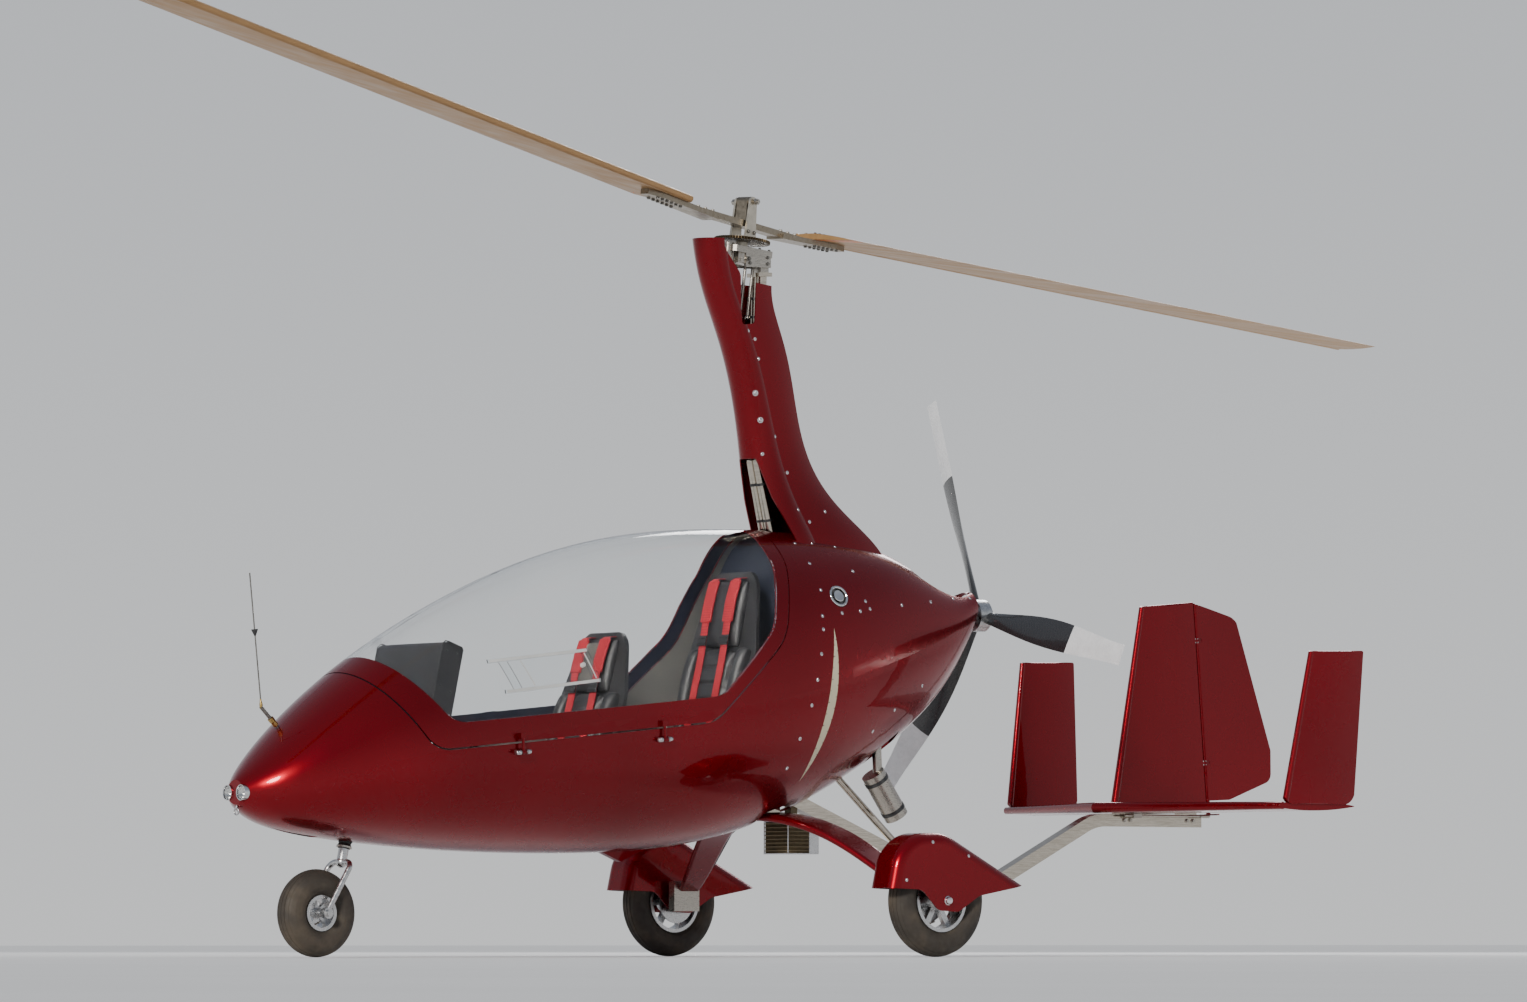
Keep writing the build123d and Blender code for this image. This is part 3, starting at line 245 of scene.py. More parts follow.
def tower_finish():
    """Pale alloy of the hub tower, with the ring gear below it in dark bronze."""
    mat, tree = new_material("tower_finish")
    from_hub = math_node(tree, "SUBTRACT", coords(tree), (0.0, 0.0, HUB_Z), "VectorMath", "Vector")
    rise = math_node(tree, "DOT_PRODUCT", from_hub, SPIN_AXIS, "VectorMath")
    low, high = RING_GEAR_LEVELS
    in_gear = math_node(tree, "MULTIPLY", math_node(tree, "GREATER_THAN", rise, low),
                        math_node(tree, "LESS_THAN", rise, high))
    grain = noise(tree, 40.0, 2.0)
    pale = tones(tree, grain, (0.50, 0.46, 0.38), (0.62, 0.57, 0.48))
    dark = tones(tree, grain, (0.070, 0.048, 0.026), (0.115, 0.082, 0.045))
    return feed(mat, {
        "Base Color": mix(tree, in_gear, pale, dark),
        "Roughness": span(tree, grain, 0.34, 0.46),
        "Metallic": 0.9,
        "Normal": bump(tree, grain, 0.015),
    })


def prop_paint():
    """Black carbon blade whose outer third is painted pale grey."""
    mat, tree = new_material("propeller_finish")
    axes = separate(tree, coords(tree))
    rise = math_node(tree, "SUBTRACT", axes["Z"], PROP_Z)
    square = math_node(tree, "ADD", math_node(tree, "POWER", axes["Y"], 2.0),
                       math_node(tree, "POWER", rise, 2.0))
    outer = math_node(tree, "GREATER_THAN", math_node(tree, "SQRT", square), PROP_PALE_FROM)
    weave = add(tree, "TexChecker", Scale=260.0, Vector=coords(tree)).outputs["Fac"]
    dark = mix(tree, weave, (0.012, 0.012, 0.013), (0.03, 0.03, 0.032))
    pale = tones(tree, noise(tree, 20.0, 4.0), (0.76, 0.77, 0.78), (0.86, 0.87, 0.88))
    return feed(mat, {
        "Base Color": mix(tree, outer, dark, pale),
        "Roughness": span(tree, noise(tree, 60.0), 0.22, 0.34),
        "Coat Weight": 0.6,
        "Coat Roughness": 0.08,
    })


red = candy_paint("candy_red", (0.150, 0.0003, 0.0040), (0.205, 0.0004, 0.0058))
alloy = metal("alloy", (0.52, 0.52, 0.52), (0.66, 0.66, 0.66), 0.28)
bronze = metal("bronze_alloy", (0.25, 0.21, 0.155), (0.36, 0.31, 0.24), 0.34)
tower_metal = tower_finish()
# Polished tube: bare polished alloy whose warm tone is partly a painted reflection of a warm sunlit ground.
polished_and_ground_reflection = metal("polished_tube_ground_reflection", (0.46, 0.41, 0.34), (0.66, 0.60, 0.51), 0.13, (1.0, 1.0, 12.0), 20.0)
brushed = metal("brushed_steel", (0.36, 0.335, 0.295), (0.58, 0.54, 0.48), 0.30, (1.0, 8.0, 8.0), 50.0)
bolt_metal = metal("bolt_metal", (0.16, 0.15, 0.135), (0.30, 0.285, 0.26), 0.36)
dark_metal = metal("dark_metal", (0.05, 0.05, 0.052), (0.12, 0.12, 0.12), 0.42)
blade_skin = metal("rotor_blade_skin", (0.37, 0.205, 0.078), (0.43, 0.245, 0.100), 0.40,
                   (0.5, 12.0, 12.0), 3.0, 0.35)
cooler_fins = metal("cooler_fins", (0.150, 0.115, 0.060), (0.24, 0.19, 0.105), 0.55, metallic=0.35)
black = plastic("black_plastic", (0.012, 0.012, 0.013), (0.028, 0.028, 0.030), 0.5)
lining = plastic("cabin_lining", (0.095, 0.094, 0.088), (0.135, 0.132, 0.122), 0.62)
# Near-black bluish lining: its tone is painted shade for the shadowed inside of the cabin.
painted_shade_lining = plastic("painted_shade_lining", (0.012, 0.014, 0.024), (0.022, 0.026, 0.040), 0.42)
rubber = plastic("black_rubber", (0.01, 0.01, 0.01), (0.022, 0.021, 0.02), 0.7)
ivory = plastic("ivory_strip", (0.56, 0.50, 0.34), (0.66, 0.60, 0.42), 0.35, 60.0, 0.04)
tyre_skin = tyre_rubber()
glass = clear_glass("canopy_clear", (0.965, 0.98, 0.985))
pane_glass = clear_glass("vent_pane_clear", (0.93, 0.95, 0.955), 0.03, 1.40)
lens = clear_glass("lamp_lens", (0.97, 0.97, 0.95))
seat_leather = leather("seat_leather", (0.012, 0.012, 0.013), (0.028, 0.028, 0.03))
grey_leather = leather("grey_leather", (0.070, 0.066, 0.056), (0.110, 0.104, 0.090))
red_web = webbing("red_webbing", (0.22, 0.0012, 0.006), (0.36, 0.0022, 0.011))
propeller_finish = prop_paint()
chrome = metal("bright_chrome", (0.70, 0.70, 0.70), (0.86, 0.86, 0.86), 0.08, scale=30.0)
brass = metal("brass", (0.42, 0.27, 0.08), (0.62, 0.43, 0.16), 0.25, scale=40.0)
pale_plastic = plastic("pale_plastic", (0.50, 0.50, 0.48), (0.62, 0.62, 0.60), 0.4, 80.0, 0.04)
orange = plastic("orange_paint", (0.62, 0.15, 0.01), (0.72, 0.20, 0.02), 0.35, 60.0, 0.03)

NODE_MATERIALS = {
    red: "fuselage_tub canopy_frame engine_cowl mast_fairing wheel_spat_left wheel_spat_right fin_left"
         " fin_right centre_fin rudder tailplane gear_bow canopy_hinges belly_wedge",
    glass: "canopy_glass",
    pane_glass: "vent_window",
    lens: "landing_lights",
    polished_and_ground_reflection: "keel_tube keel_strut mast_tubes",
    bolt_metal: "fuel_cap nose_antenna",
    brushed: "muffler rotor_head control_rods axle_left axle_right rudder_linkage",
    bronze: "hub_bar",
    tower_metal: "rotor_tower",
    alloy: "main_rim_left main_rim_right nose_rim nose_fork engine_block propeller_hub hinge_brackets"
           " pitot_ring",
    cooler_fins: "oil_cooler",
    blade_skin: "rotor_blade_fore rotor_blade_aft",
    propeller_finish: "propeller_blades",
    tyre_skin: "main_tyre_left main_tyre_right nose_tyre",
    black: "instrument_panel front_seat rear_seat control_sticks rudder_pedals",
    rubber: "nose_leg_bellows brake_lines",
    lining: "cabin_floor",
    ivory: "fuel_sight_strip",
    seat_leather: "front_cushion rear_cushion",
}
for mat, names in NODE_MATERIALS.items():
    for name in names.split():
        nodes[name].data.materials.clear()
        nodes[name].data.materials.append(mat)
for name in ("canopy_glass", "vent_window"):
    nodes[name].visible_shadow = False


# Mesh tools

def merge_in(bm, verts, faces):
    """Adds verts and faces to an open mesh."""
    made = [bm.verts.new(v) for v in verts]
    for face in faces:
        bm.faces.new([made[i] for i in face])


def hump(distance, width):
    """One in the middle, falling smoothly to nothing."""
    return math.exp(-(distance / width) ** 2)


def polar(radius, turn):
    return radius * math.cos(turn), radius * math.sin(turn)


def lathe(bm, place, rows, segments):
    """Solid turned about local Z from rows of radius and height: a ring if the first is off the axis."""
    verts, faces, count = [], [], len(rows)
    for index in range(segments):
        turn = math.tau * index / segments
        verts += [place @ Vector((*polar(radius, turn), height)) for radius, height in rows]
    for index in range(segments):
        here, after = index * count, (index + 1) % segments * count
        for row in range(count - 1):
            faces.append((here + row, after + row, after + row + 1, here + row + 1))
        if rows[0][0] > 0.001:
            faces.append((here + count - 1, after + count - 1, after, here))
    if rows[0][0] <= 0.001:
        faces.append([index * count for index in reversed(range(segments))])
        faces.append([index * count + count - 1 for index in range(segments)])
    merge_in(bm, verts, faces)


def prism(bm, place, outline, low, high):
    """Straight prism along the local Z axis over an outline of x and y."""
    count = len(outline)
    verts = [place @ Vector((x, y, z)) for z in (low, high) for x, y in outline]
    faces = [[i, (i + 1) % count, (i + 1) % count + count, i + count] for i in range(count)]
    faces += [list(reversed(range(count))), list(range(count, 2 * count))]
    merge_in(bm, verts, faces)


def band(bm, place, inner, outer, half, segments):
    """Flat ring about the local Z axis."""
    lathe(bm, place, [(inner, -half), (outer, -half), (outer, half), (inner, half)], segments)


def slab(bm, place, low, high):
    """Box between two corners in the frame of place."""
    (x0, y0, z0), (x1, y1, z1) = low, high
    prism(bm, place, [(x0, y0), (x1, y0), (x1, y1), (x0, y1)], z0, z1)


def headings(points):
    """Points of a line, each with the line's direction there."""
    points = [Vector(p) for p in points]
    last = len(points) - 1
    return [(point, (points[min(k + 1, last)] - points[max(k - 1, 0)]).normalized())
            for k, point in enumerate(points)]


def run_on(bm, verts, segments):
    """Adds a bar to an open mesh from the points of its rings."""
    rows = len(verts) // segments
    faces = []
    for row in range(rows - 1):
        for k in range(segments):
            here, after = row * segments, (k + 1) % segments
            faces.append((here + k, here + after, here + segments + after, here + segments + k))
    faces.append(list(reversed(range(segments))))
    faces.append([(rows - 1) * segments + k for k in range(segments)])
    merge_in(bm, verts, faces)


def tube(bm, points, radius, segments):
    """Round bar along a line of points."""
    verts, side = [], None
    for point, ahead in headings(points):
        side = side or ahead.orthogonal().normalized()
        side = (side - ahead * side.dot(ahead)).normalized()
        up = ahead.cross(side)
        for k in range(segments):
            a, b = polar(radius, math.tau * k / segments)
            verts.append(point + side * a + up * b)
    run_on(bm, verts, segments)


def ribbon(bm, points, across, width, thick):
    """Flat band along a line of points; across is the direction of its width."""
    across, verts = Vector(across).normalized(), []
    for point, ahead in headings(points):
        side = (across - ahead * across.dot(ahead)).normalized()
        out = side.cross(ahead)
        for a, b in ((-0.5, 0), (0.5, 0), (0.5, 1), (-0.5, 1)):
            verts.append(point + side * (a * width) + out * (b * thick))
    run_on(bm, verts, 4)


def new_object(name, data):
    obj = bpy.data.objects.new(name, data)
    bpy.context.scene.collection.objects.link(obj)
    return obj


def mesh_of(name, bm):
    """Mesh from an open mesh, which it frees."""
    bmesh.ops.recalc_face_normals(bm, faces=bm.faces)
    mesh = bpy.data.meshes.new(name)
    bm.to_mesh(mesh)
    bm.free()
    return mesh


def dressed(name, mesh, mat, body):
    """Object from a mesh, with its material and body."""
    mesh.materials.clear()
    mesh.materials.append(mat)
    mesh.shade_smooth()
    obj = new_object(name, mesh)
    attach(obj, body)
    return obj


def piece(name, bm, mat, body="airframe", angle=35.0, bevel=0.0):
    """Finished piece from an open mesh."""
    mesh = mesh_of(name, bm)
    obj = dressed(name, mesh, mat, body)
    if bevel:
        rounding = obj.modifiers.new("rounded_edges", "BEVEL")
        rounding.width = bevel
        rounding.segments = 2
        rounding.limit_method = "ANGLE"
    mesh.set_sharp_from_angle(angle=math.radians(angle))
    return obj


def facing(location, normal):
    """Frame at a point with its Z axis along a normal."""
    return Matrix.Translation(location) @ Vector(normal).to_track_quat("Z", "Y").to_matrix().to_4x4()


def skin(*names):
    """Search tree over the surfaces of CAD nodes."""
    verts, faces = [], []
    for name in names:
        mesh, base = nodes[name].data, len(verts)
        verts += [v.co.copy() for v in mesh.vertices]
        faces += [[base + i for i in polygon.vertices] for polygon in mesh.polygons]
    return BVHTree.FromPolygons(verts, faces)


def cast(tree, origin, direction):
    """First point of a surface along a direction, and its normal turned to the origin."""
    location, normal, *_ = tree.ray_cast(Vector(origin), Vector(direction).normalized(), CAST_REACH)
    if location is None:
        return None, None
    if normal.dot(Vector(direction)) > 0:
        normal = -normal
    return location, normal


def mid(x, z):
    """Point in the middle plane."""
    return Vector((x, 0.0, z))


def hexagon(radius):
    return [polar(radius, math.pi * k / 3) for k in range(6)]


def hex_bolt(bm, place, across, height=None):
    """Washer and hexagon head whose face rises along the local Z axis."""
    radius = across / 2 / math.cos(math.pi / 6)
    height = height or across * 0.62
    lathe(bm, place, [(0.0005, -0.0008), (radius * 1.25, -0.0008), (radius * 1.25, across * 0.09),
                      (radius * 1.12, across * 0.13), (0.0005, across * 0.13)], 20)
    prism(bm, place, hexagon(radius), across * 0.12, height * 0.86)
    lathe(bm, place, [(0.0005, height * 0.8), (radius * 0.9, height * 0.8), (radius * 0.78, height),
                      (0.0005, height)], 18)


def dome_screw(bm, place, radius):
    """Low domed screw head with a round socket on a thin washer."""
    lathe(bm, place, [(0.0002, -0.0006), (radius * 1.5, -0.0006), (radius * 1.5, radius * 0.12),
                      (radius, radius * 0.16), (radius * 0.92, radius * 0.42), (radius * 0.66, radius * 0.66),
                      (radius * 0.40, radius * 0.74), (radius * 0.36, radius * 0.34),
                      (0.0002, radius * 0.34)], 16)


def side_bolts(bm, spots, place=Matrix()):
    """Bolts that face outward on both sides, from rows of x, y to port, z and size."""
    for side in (1, -1):
        for x, y, z, across in spots:
            hex_bolt(bm, place @ facing((x, side * y, z), (0, side, 0)), across)


def screw_on(bm, surface, origin, direction, radius):
    """Domed screw where a line from origin meets a surface."""
    location, normal = cast(surface, origin, direction)
    if location:
        dome_screw(bm, facing(location, normal), radius)


# Wheels: ribbed tyres in place of the plain ones, bolts and valves on the rims

# Each wheel: its centre, outer radius, width and rim radius
NOSE_WHEEL = (mid(1.947, 0.159), 0.159, 0.104, 0.066)
MAIN_WHEELS = {side: (Vector((-0.264, side * 0.816, 0.2075)), 0.2075, 0.108, 0.117) for side in (1, -1)}
TYRE_GROOVES = (0.14, 0.42, 0.68)
TYRE_RIDGES = (0.14, 0.30, 0.62, 0.78)
ALONG_Y = Matrix.Rotation(math.radians(-90), 4, "X")


def arc(start, middle, end, steps):
    """Points of the circle through three points of the plane, from the first to the last."""
    (ax, ay), (bx, by), (cx, cy) = start, middle, end
    d = 2 * (ax * (by - cy) + bx * (cy - ay) + cx * (ay - by))
    ux = ((ax**2 + ay**2) * (by - cy) + (bx**2 + by**2) * (cy - ay) + (cx**2 + cy**2) * (ay - by)) / d
    uy = ((ax**2 + ay**2) * (cx - bx) + (bx**2 + by**2) * (ax - cx) + (cx**2 + cy**2) * (bx - ax)) / d
    radius = math.hypot(ax - ux, ay - uy)
    first, last = math.atan2(ay - uy, ax - ux), math.atan2(cy - uy, cx - ux)
    via = (math.atan2(by - uy, bx - ux) - first) % math.tau
    sweep = (last - first) % math.tau
    if via > sweep:
        sweep -= math.tau
    spokes = [polar(radius, first + sweep * k / steps) for k in range(steps + 1)]
    return [(ux + x, uy + y) for x, y in spokes]


def tyre_rows(radius, width, rim):
    """Half section of a tyre from bead to crown as rows of radius and distance from the middle."""
    half, seat = width / 2, width * 0.31
    shoulder = (radius - 0.022, half - 0.010)
    wall = arc((rim + 0.006, seat + 0.006), ((rim + radius) / 2 + 0.004, half), shoulder, 22)
    crown = arc(shoulder, (radius, 0.0), (shoulder[0], -shoulder[1]), 64)
    rows = [(rim, seat)] + wall
    for r, y in crown[1:33]:
        share = abs(y) / half
        groove = min(abs(share - mark) for mark in TYRE_GROOVES)
        rows.append((r - (0.0032 if groove < 0.028 else 0.0), y))
    for index, (r, y) in enumerate(rows[1:23]):
        level = (r - rim) / (radius - rim)
        ridge = sum(hump(level - mark, 0.018) for mark in TYRE_RIDGES)
        rows[index + 1] = (r, y - 0.0007 + 0.0007 * min(1.0, ridge))
    return rows


def tyre(name, wheel, node, body):
    """Whole tyre with its ribs and side wall ridges."""
    centre, radius, width, rim = wheel
    rows = tyre_rows(radius, width, rim)
    rows += [(r, -y) for r, y in reversed(rows[:-1])]
    rows += [(rim - 0.005, -width * 0.27), (rim - 0.005, width * 0.27)]
    bm = bmesh.new()
    lathe(bm, Matrix.Translation(centre) @ ALONG_Y, rows, 120)
    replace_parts(piece(name, bm, tyre_skin, body, 40.0), node)


def wheel_trim(name, wheel, body, bolts, side):
    """Clamping bolts round the hub, and a valve on the rim."""
    centre, _, width, rim = wheel
    bm = bmesh.new()
    face = width * 0.31
    place = facing(centre + Vector((0, side * face, 0)), (0, side, 0))
    for k in range(bolts):
        turn = math.tau * (k + 0.5) / bolts
        hex_bolt(bm, place @ Matrix.Translation((*polar(rim * 0.22, turn), 0.0)), 0.009)
    valve = centre + Vector(((rim - 0.016) * 0.5, side * (face - 0.012), -(rim - 0.016) * 0.866))
    lathe(bm, facing(valve, (-0.25, side, 0.4)),
          [(0.0002, 0.0), (0.0042, 0.0), (0.0042, 0.008), (0.0030, 0.010), (0.0030, 0.022), (0.0040, 0.023),
           (0.0040, 0.031), (0.0002, 0.032)], 14)
    piece(name, bm, brushed, body)


tyre("nose_tyre_ribbed", NOSE_WHEEL, "nose_tyre", "nose_wheel")
wheel_trim("nose_wheel_trim", NOSE_WHEEL, "nose_wheel", 0, 1)
for side, word in ((1, "left"), (-1, "right")):
    tyre("main_tyre_ribbed_" + word, MAIN_WHEELS[side], "main_tyre_" + word, word + "_wheel")
    wheel_trim("main_wheel_trim_" + word, MAIN_WHEELS[side], word + "_wheel", 6, side)
    bm = bmesh.new()
    centre = MAIN_WHEELS[side][0]
    lathe(bm, facing(centre + Vector((0, side * 0.0752, 0)), (0, side, 0)),
          [(0.0002, 0.0), (0.017, 0.0), (0.0172, 0.002), (0.0145, 0.0045), (0.0142, 0.0095), (0.0115, 0.0135),
           (0.006, 0.0155), (0.0002, 0.0160)], 28)
    spat = skin("wheel_spat_" + word)
    for x, z in ((0.195, 0.075), (-0.10, 0.165), (0.07, 0.215)):
        screw_on(bm, spat, centre + Vector((x, side * 0.3, z)), (0, -side, 0), 0.0042)
    piece("spat_screws_" + word, bm, chrome)

# Screws of the skins, on both sides: x, y and z near the cowl's port side

COWL_SCREWS = [
    (-0.154, 0.270, 1.368), (-0.146, 0.214, 1.470), (-0.134, 0.140, 1.548), (-0.220, 0.134, 1.556),
    (-0.332, 0.125, 1.524), (-0.357, 0.206, 1.443), (-0.377, 0.258, 1.332), (-0.394, 0.263, 1.303),
    (-0.338, 0.273, 1.292), (-0.238, 0.291, 1.283), (-0.133, 0.309, 1.271), (-0.127, 0.320, 1.220),
    (-0.104, 0.340, 1.128), (-0.077, 0.351, 1.031), (-0.048, 0.352, 0.936), (-0.004, 0.337, 0.811),
    (0.030, 0.300, 0.705), (-0.581, 0.220, 1.324), (-0.765, 0.167, 1.343), (-0.930, 0.100, 1.362),
    (-1.045, 0.060, 1.368), (-0.542, 0.228, 0.932), (-0.430, 0.250, 0.830), (-0.700, 0.170, 1.060),
]
# x, z and radius on the mast
MAST_SCREWS = [
    (0.024, 2.347, 0.0045), (-0.006, 2.317, 0.0045), (-0.022, 2.243, 0.0045), (-0.004, 2.113, 0.0075),
    (-0.026, 2.012, 0.0075), (-0.097, 1.953, 0.0045), (-0.145, 1.818, 0.0045), (-0.178, 1.679, 0.0045),
    (-0.313, 1.676, 0.0045), (-0.228, 1.634, 0.0045), (-0.036, 1.885, 0.0045),
]
hull = skin("engine_cowl", "fuselage_tub")
fairing = skin("mast_fairing")
bm = bmesh.new()
for x, y, z in COWL_SCREWS:
    for side in (1, -1):
        axis = Vector((x, 0.0, 1.15 if x > -0.5 else 1.28))
        out = (Vector((x, side * y, z)) - axis).normalized()
        screw_on(bm, hull, axis + out * 0.8, -out, 0.0048)
piece("cowl_screws", bm, chrome)
bm = bmesh.new()
for x, z, radius in MAST_SCREWS:
    for side in (1, -1):
        screw_on(bm, fairing, (x, side * 0.4, z), (0, -side, 0), radius)
piece("mast_screws", bm, chrome)

# Rim and raised middle of the filler cap

cap_axis = Vector((0.0, 0.9262, 0.3771))
cap_middle = Vector((-0.238, 0.26887, 1.34735))
location, _ = cast(skin("fuel_cap"), cap_middle + cap_axis * 0.2, -cap_axis)
bm = bmesh.new()
cap_place = facing(location, cap_axis)
lathe(bm, cap_place, [(0.0325, -0.001), (0.0415, -0.001), (0.0420, 0.0012), (0.0395, 0.0040),
                      (0.0350, 0.0040), (0.0325, 0.0014)], 48)
lathe(bm, cap_place, [(0.0002, -0.001), (0.0225, -0.001), (0.0225, 0.0022), (0.0205, 0.0034),
                      (0.0120, 0.0026), (0.0002, 0.0022)], 40)
piece("filler_cap_rim", bm, chrome)

# Ticks along both edges of the fuel sight strip

strip = skin("fuel_sight_strip")
bm = bmesh.new()
for k in range(26):
    z = 0.690 + k * 0.0215
    found = [cast(strip, (-0.19 + j * 0.001, 0.6, z), (0, -1, 0)) for j in range(130)]
    found = [(p, n) for p, n in found if p is not None and n.y > 0.5]
    if len(found) > 10:
        run = 7 if k % 4 == 0 else 4
        ends = (found[0], found[run]) if k % 2 else (found[-1], found[-1 - run])
        ribbon(bm, [p + n * 0.0003 for p, n in ends], (0, 0, 1), 0.0026, 0.0005)
piece("fuel_strip_ticks", bm, black)

# Landing lamps: bezel, bowl, bulb and domed lens in each of the two nose openings

bezels, bowls, lenses = bmesh.new(), bmesh.new(), bmesh.new()
for side in (1, -1):
    place = facing((2.306, side * 0.043, 0.590), (1, 0, 0))
    lathe(bezels, place, [(0.0285, -0.050), (0.0285, -0.002), (0.0285, 0.0), (0.0262, 0.0), (0.0250, -0.002),
                          (0.0250, -0.050)], 40)
    bowl = [(0.0248 * k / 12, -0.030 + 0.026 * (k / 12) ** 2) for k in range(13)]
    back = [(r, h - 0.002) for r, h in reversed(bowl)]
    lathe(bowls, place, [(max(r, 0.0002), h) for r, h in bowl + back], 36)
    lathe(bowls, place, [(0.0002, -0.028), (0.0045, -0.028), (0.0050, -0.016), (0.0030, -0.011),
                         (0.0002, -0.010)], 18)
    dome = [polar(1.0, math.pi / 2 * k / 8) for k in range(9)]
    dome = [(max(0.0247 * a, 0.0002), -0.004 + 0.004 * b) for a, b in dome]
    lathe(lenses, place, [(0.0002, -0.006), (0.0247, -0.006)] + dome, 36)
piece("lamp_bezels", bezels, chrome)
piece("lamp_bowls", bowls, chrome)
lens_piece = piece("lamp_lenses", lenses, lens, "airframe")
lens_piece.visible_shadow = False
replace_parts(lens_piece, "landing_lights")

# Clamps round the two mast tubes where the fairing is open

MAST_FOOT, MAST_KNEE, MAST_TOP = mid(-0.112, 1.590), mid(-0.050, 1.860), mid(-0.072, 2.560)
bm = bmesh.new()
for z in (1.640, 1.775, 2.405, 2.475):
    low, high = (MAST_FOOT, MAST_KNEE) if z < MAST_KNEE.z else (MAST_KNEE, MAST_TOP)
    middle = low.lerp(high, (z - low.z) / (high.z - low.z))
    for y in (-0.020, 0.020):
        band(bm, facing(middle + Vector((0, y, 0)), high - low), 0.0180, 0.0192, 0.005, 28)
piece("mast_tube_clamps", bm, dark_metal)

# Antenna foot and cone, bellows bands

ANTENNA_FOOT, WHIP_FOOT, WHIP_TOP = mid(2.145, 0.855), mid(2.188, 0.898), mid(2.240, 1.380)
lean = (WHIP_TOP - WHIP_FOOT).normalized()
foot = facing(ANTENNA_FOOT, (1, 0, 1))
bm = bmesh.new()
prism(bm, foot, hexagon(0.0115), -0.010, 0.006)
lathe(bm, foot, [(0.0072, -0.032), (0.0105, -0.030), (0.0105, -0.012), (0.0072, -0.010)], 20)
lathe(bm, facing(WHIP_FOOT, lean), [(0.0028, -0.006), (0.0062, -0.004), (0.0062, 0.012), (0.0045, 0.018),
                                    (0.0028, 0.030)], 18)
piece("antenna_foot", bm, brass)
bm = bmesh.new()
lathe(bm, facing(WHIP_FOOT + lean * 0.27, lean),
      [(0.0028, -0.012), (0.0032, -0.012), (0.0125, 0.010), (0.0122, 0.0115), (0.0028, 0.0115)], 20)
piece("antenna_cone", bm, black)
NOSE_LEG_TOP, NOSE_LEG_DOWN = mid(1.802, 0.5), mid(0.2104, -0.9776).normalized()
bm = bmesh.new()
for distance in (0.030, 0.104):
    place = facing(NOSE_LEG_TOP + NOSE_LEG_DOWN * distance, NOSE_LEG_DOWN)
    band(bm, place, 0.0225, 0.0285, 0.0035, 32)
piece("bellows_bands", bm, brushed)

# Rotor: bolts of the straps, grips, tower and head, bushes of the ring gear

head_place = Matrix.Translation((0, 0, HUB_Z)) @ Matrix.Rotation(-ROTOR_TILT, 4, "Y")
rotor_place = head_place @ Matrix.Rotation(ROTOR_TURN, 4, "Z")
strap_spots = [(0.424 + k * 0.028, y) for k in range(6) for y in (-0.022, 0.022)]
bolts = bmesh.new()
for side in (1, -1):
    cone = rotor_place @ Matrix.Rotation(-side * BLADE_CONE, 4, "Y")
    for x, y in strap_spots:
        below = Matrix.Translation((side * x, y, -0.030)) @ Matrix.Rotation(math.pi, 4, "X")
        hex_bolt(bolts, cone @ below, 0.011)
    blade = skin("rotor_blade_fore" if side > 0 else "rotor_blade_aft")
    down = -(cone.to_3x3() @ mid(0, 1))
    for x, y in strap_spots:
        hex_bolt(bolts, facing(*cast(blade, cone @ Vector((side * x, y, 0.06)), down)), 0.010)
    for k in range(3):
        for y in (-0.013, 0.013):
            spot = rotor_place @ Matrix.Translation((side * (0.215 + k * 0.045), y, 0.012))
            hex_bolt(bolts, spot, 0.012)
piece("blade_strap_bolts", bolts, bolt_metal, "rotor")
bm = bmesh.new()
for side in (1, -1):
    place = rotor_place @ facing((0, side * 0.050, 0.086), (0, side, 0))
    prism(bm, place, hexagon(0.0125), -0.004, 0.008)
    lathe(bm, place, [(0.0002, 0.007), (0.0072, 0.007), (0.0072, 0.013), (0.0002, 0.0135)], 20)
piece("teeter_bolt_nuts", bm, brushed, "rotor")
bm = bmesh.new()
side_bolts(bm, [(x, 0.038, -0.030, 0.011) for x in (-0.018, 0.018)], rotor_place)
piece("tower_bolts", bm, bolt_metal, "rotor_turntable")
bm = bmesh.new()
for k in range(20):
    turn = math.tau * k / 20
    for radius, inner, outer, shift in ((0.082, 0.0078, 0.0098, 0.0), (0.062, 0.0, 0.0042, math.pi / 20)):
        for z, up in ((-0.068, -1), (-0.058, 1)):
            place = head_place @ facing((*polar(radius, turn + shift), z), (0, 0, up))
            if inner:
                lathe(bm, place, [(inner, -0.0004), (outer, -0.0004), (outer, 0.0006), (inner, 0.0010)], 20)
            else:
                lathe(bm, place, [(0.0002, -0.0004), (outer, -0.0004), (outer, 0.0012), (0.0002, 0.0026)], 12)
piece("ring_gear_bushes", bm, chrome, "rotor_turntable")
bm = bmesh.new()
for x in (-0.105, 0.048, -0.06):
    for y in (0.034, -0.034):
        hex_bolt(bm, head_place @ Matrix.Translation((x, y, -0.088)), 0.010)
side_bolts(bm, [(0, 0.052, -0.134, 0.013)], head_place)
side_bolts(bm, [(x, 0.044, z, 0.010) for x, z in ((-0.080, 2.604), (-0.080, 2.628), (0.004, 2.604))])
piece("head_bolts", bm, bolt_metal)

# Orange corner at the root of the aft blade, above and below

aft_cone = rotor_place @ Matrix.Rotation(BLADE_CONE, 4, "Y")
aft_blade = skin("rotor_blade_aft")
up = (aft_cone.to_3x3() @ mid(0, 1)).normalized()
bm = bmesh.new()
for sign in (1, -1):
    made = {}
    for i in range(9):
        for j in range(9):
            a = Vector((-0.403, 0.052, 0)).lerp(Vector((-0.512, 0.136, 0)), j / 8)
            b = Vector((-0.403, 0.012, 0)).lerp(Vector((-0.590, 0.136, 0)), j / 8)
            spot = aft_cone @ (a.lerp(b, i / 8) + Vector((0, 0, 0.08 * sign)))
            location, normal = cast(aft_blade, spot, up * -sign)
            if location:
                made[i, j] = bm.verts.new(location + normal * 0.0005)
    for i in range(8):
        for j in range(8):
            corners = [(i, j), (i + 1, j), (i + 1, j + 1), (i, j + 1)]
            if all(c in made for c in corners):
                bm.faces.new([made[c] for c in corners])
piece("blade_root_paint", bm, orange, "rotor")

# Propeller bolts

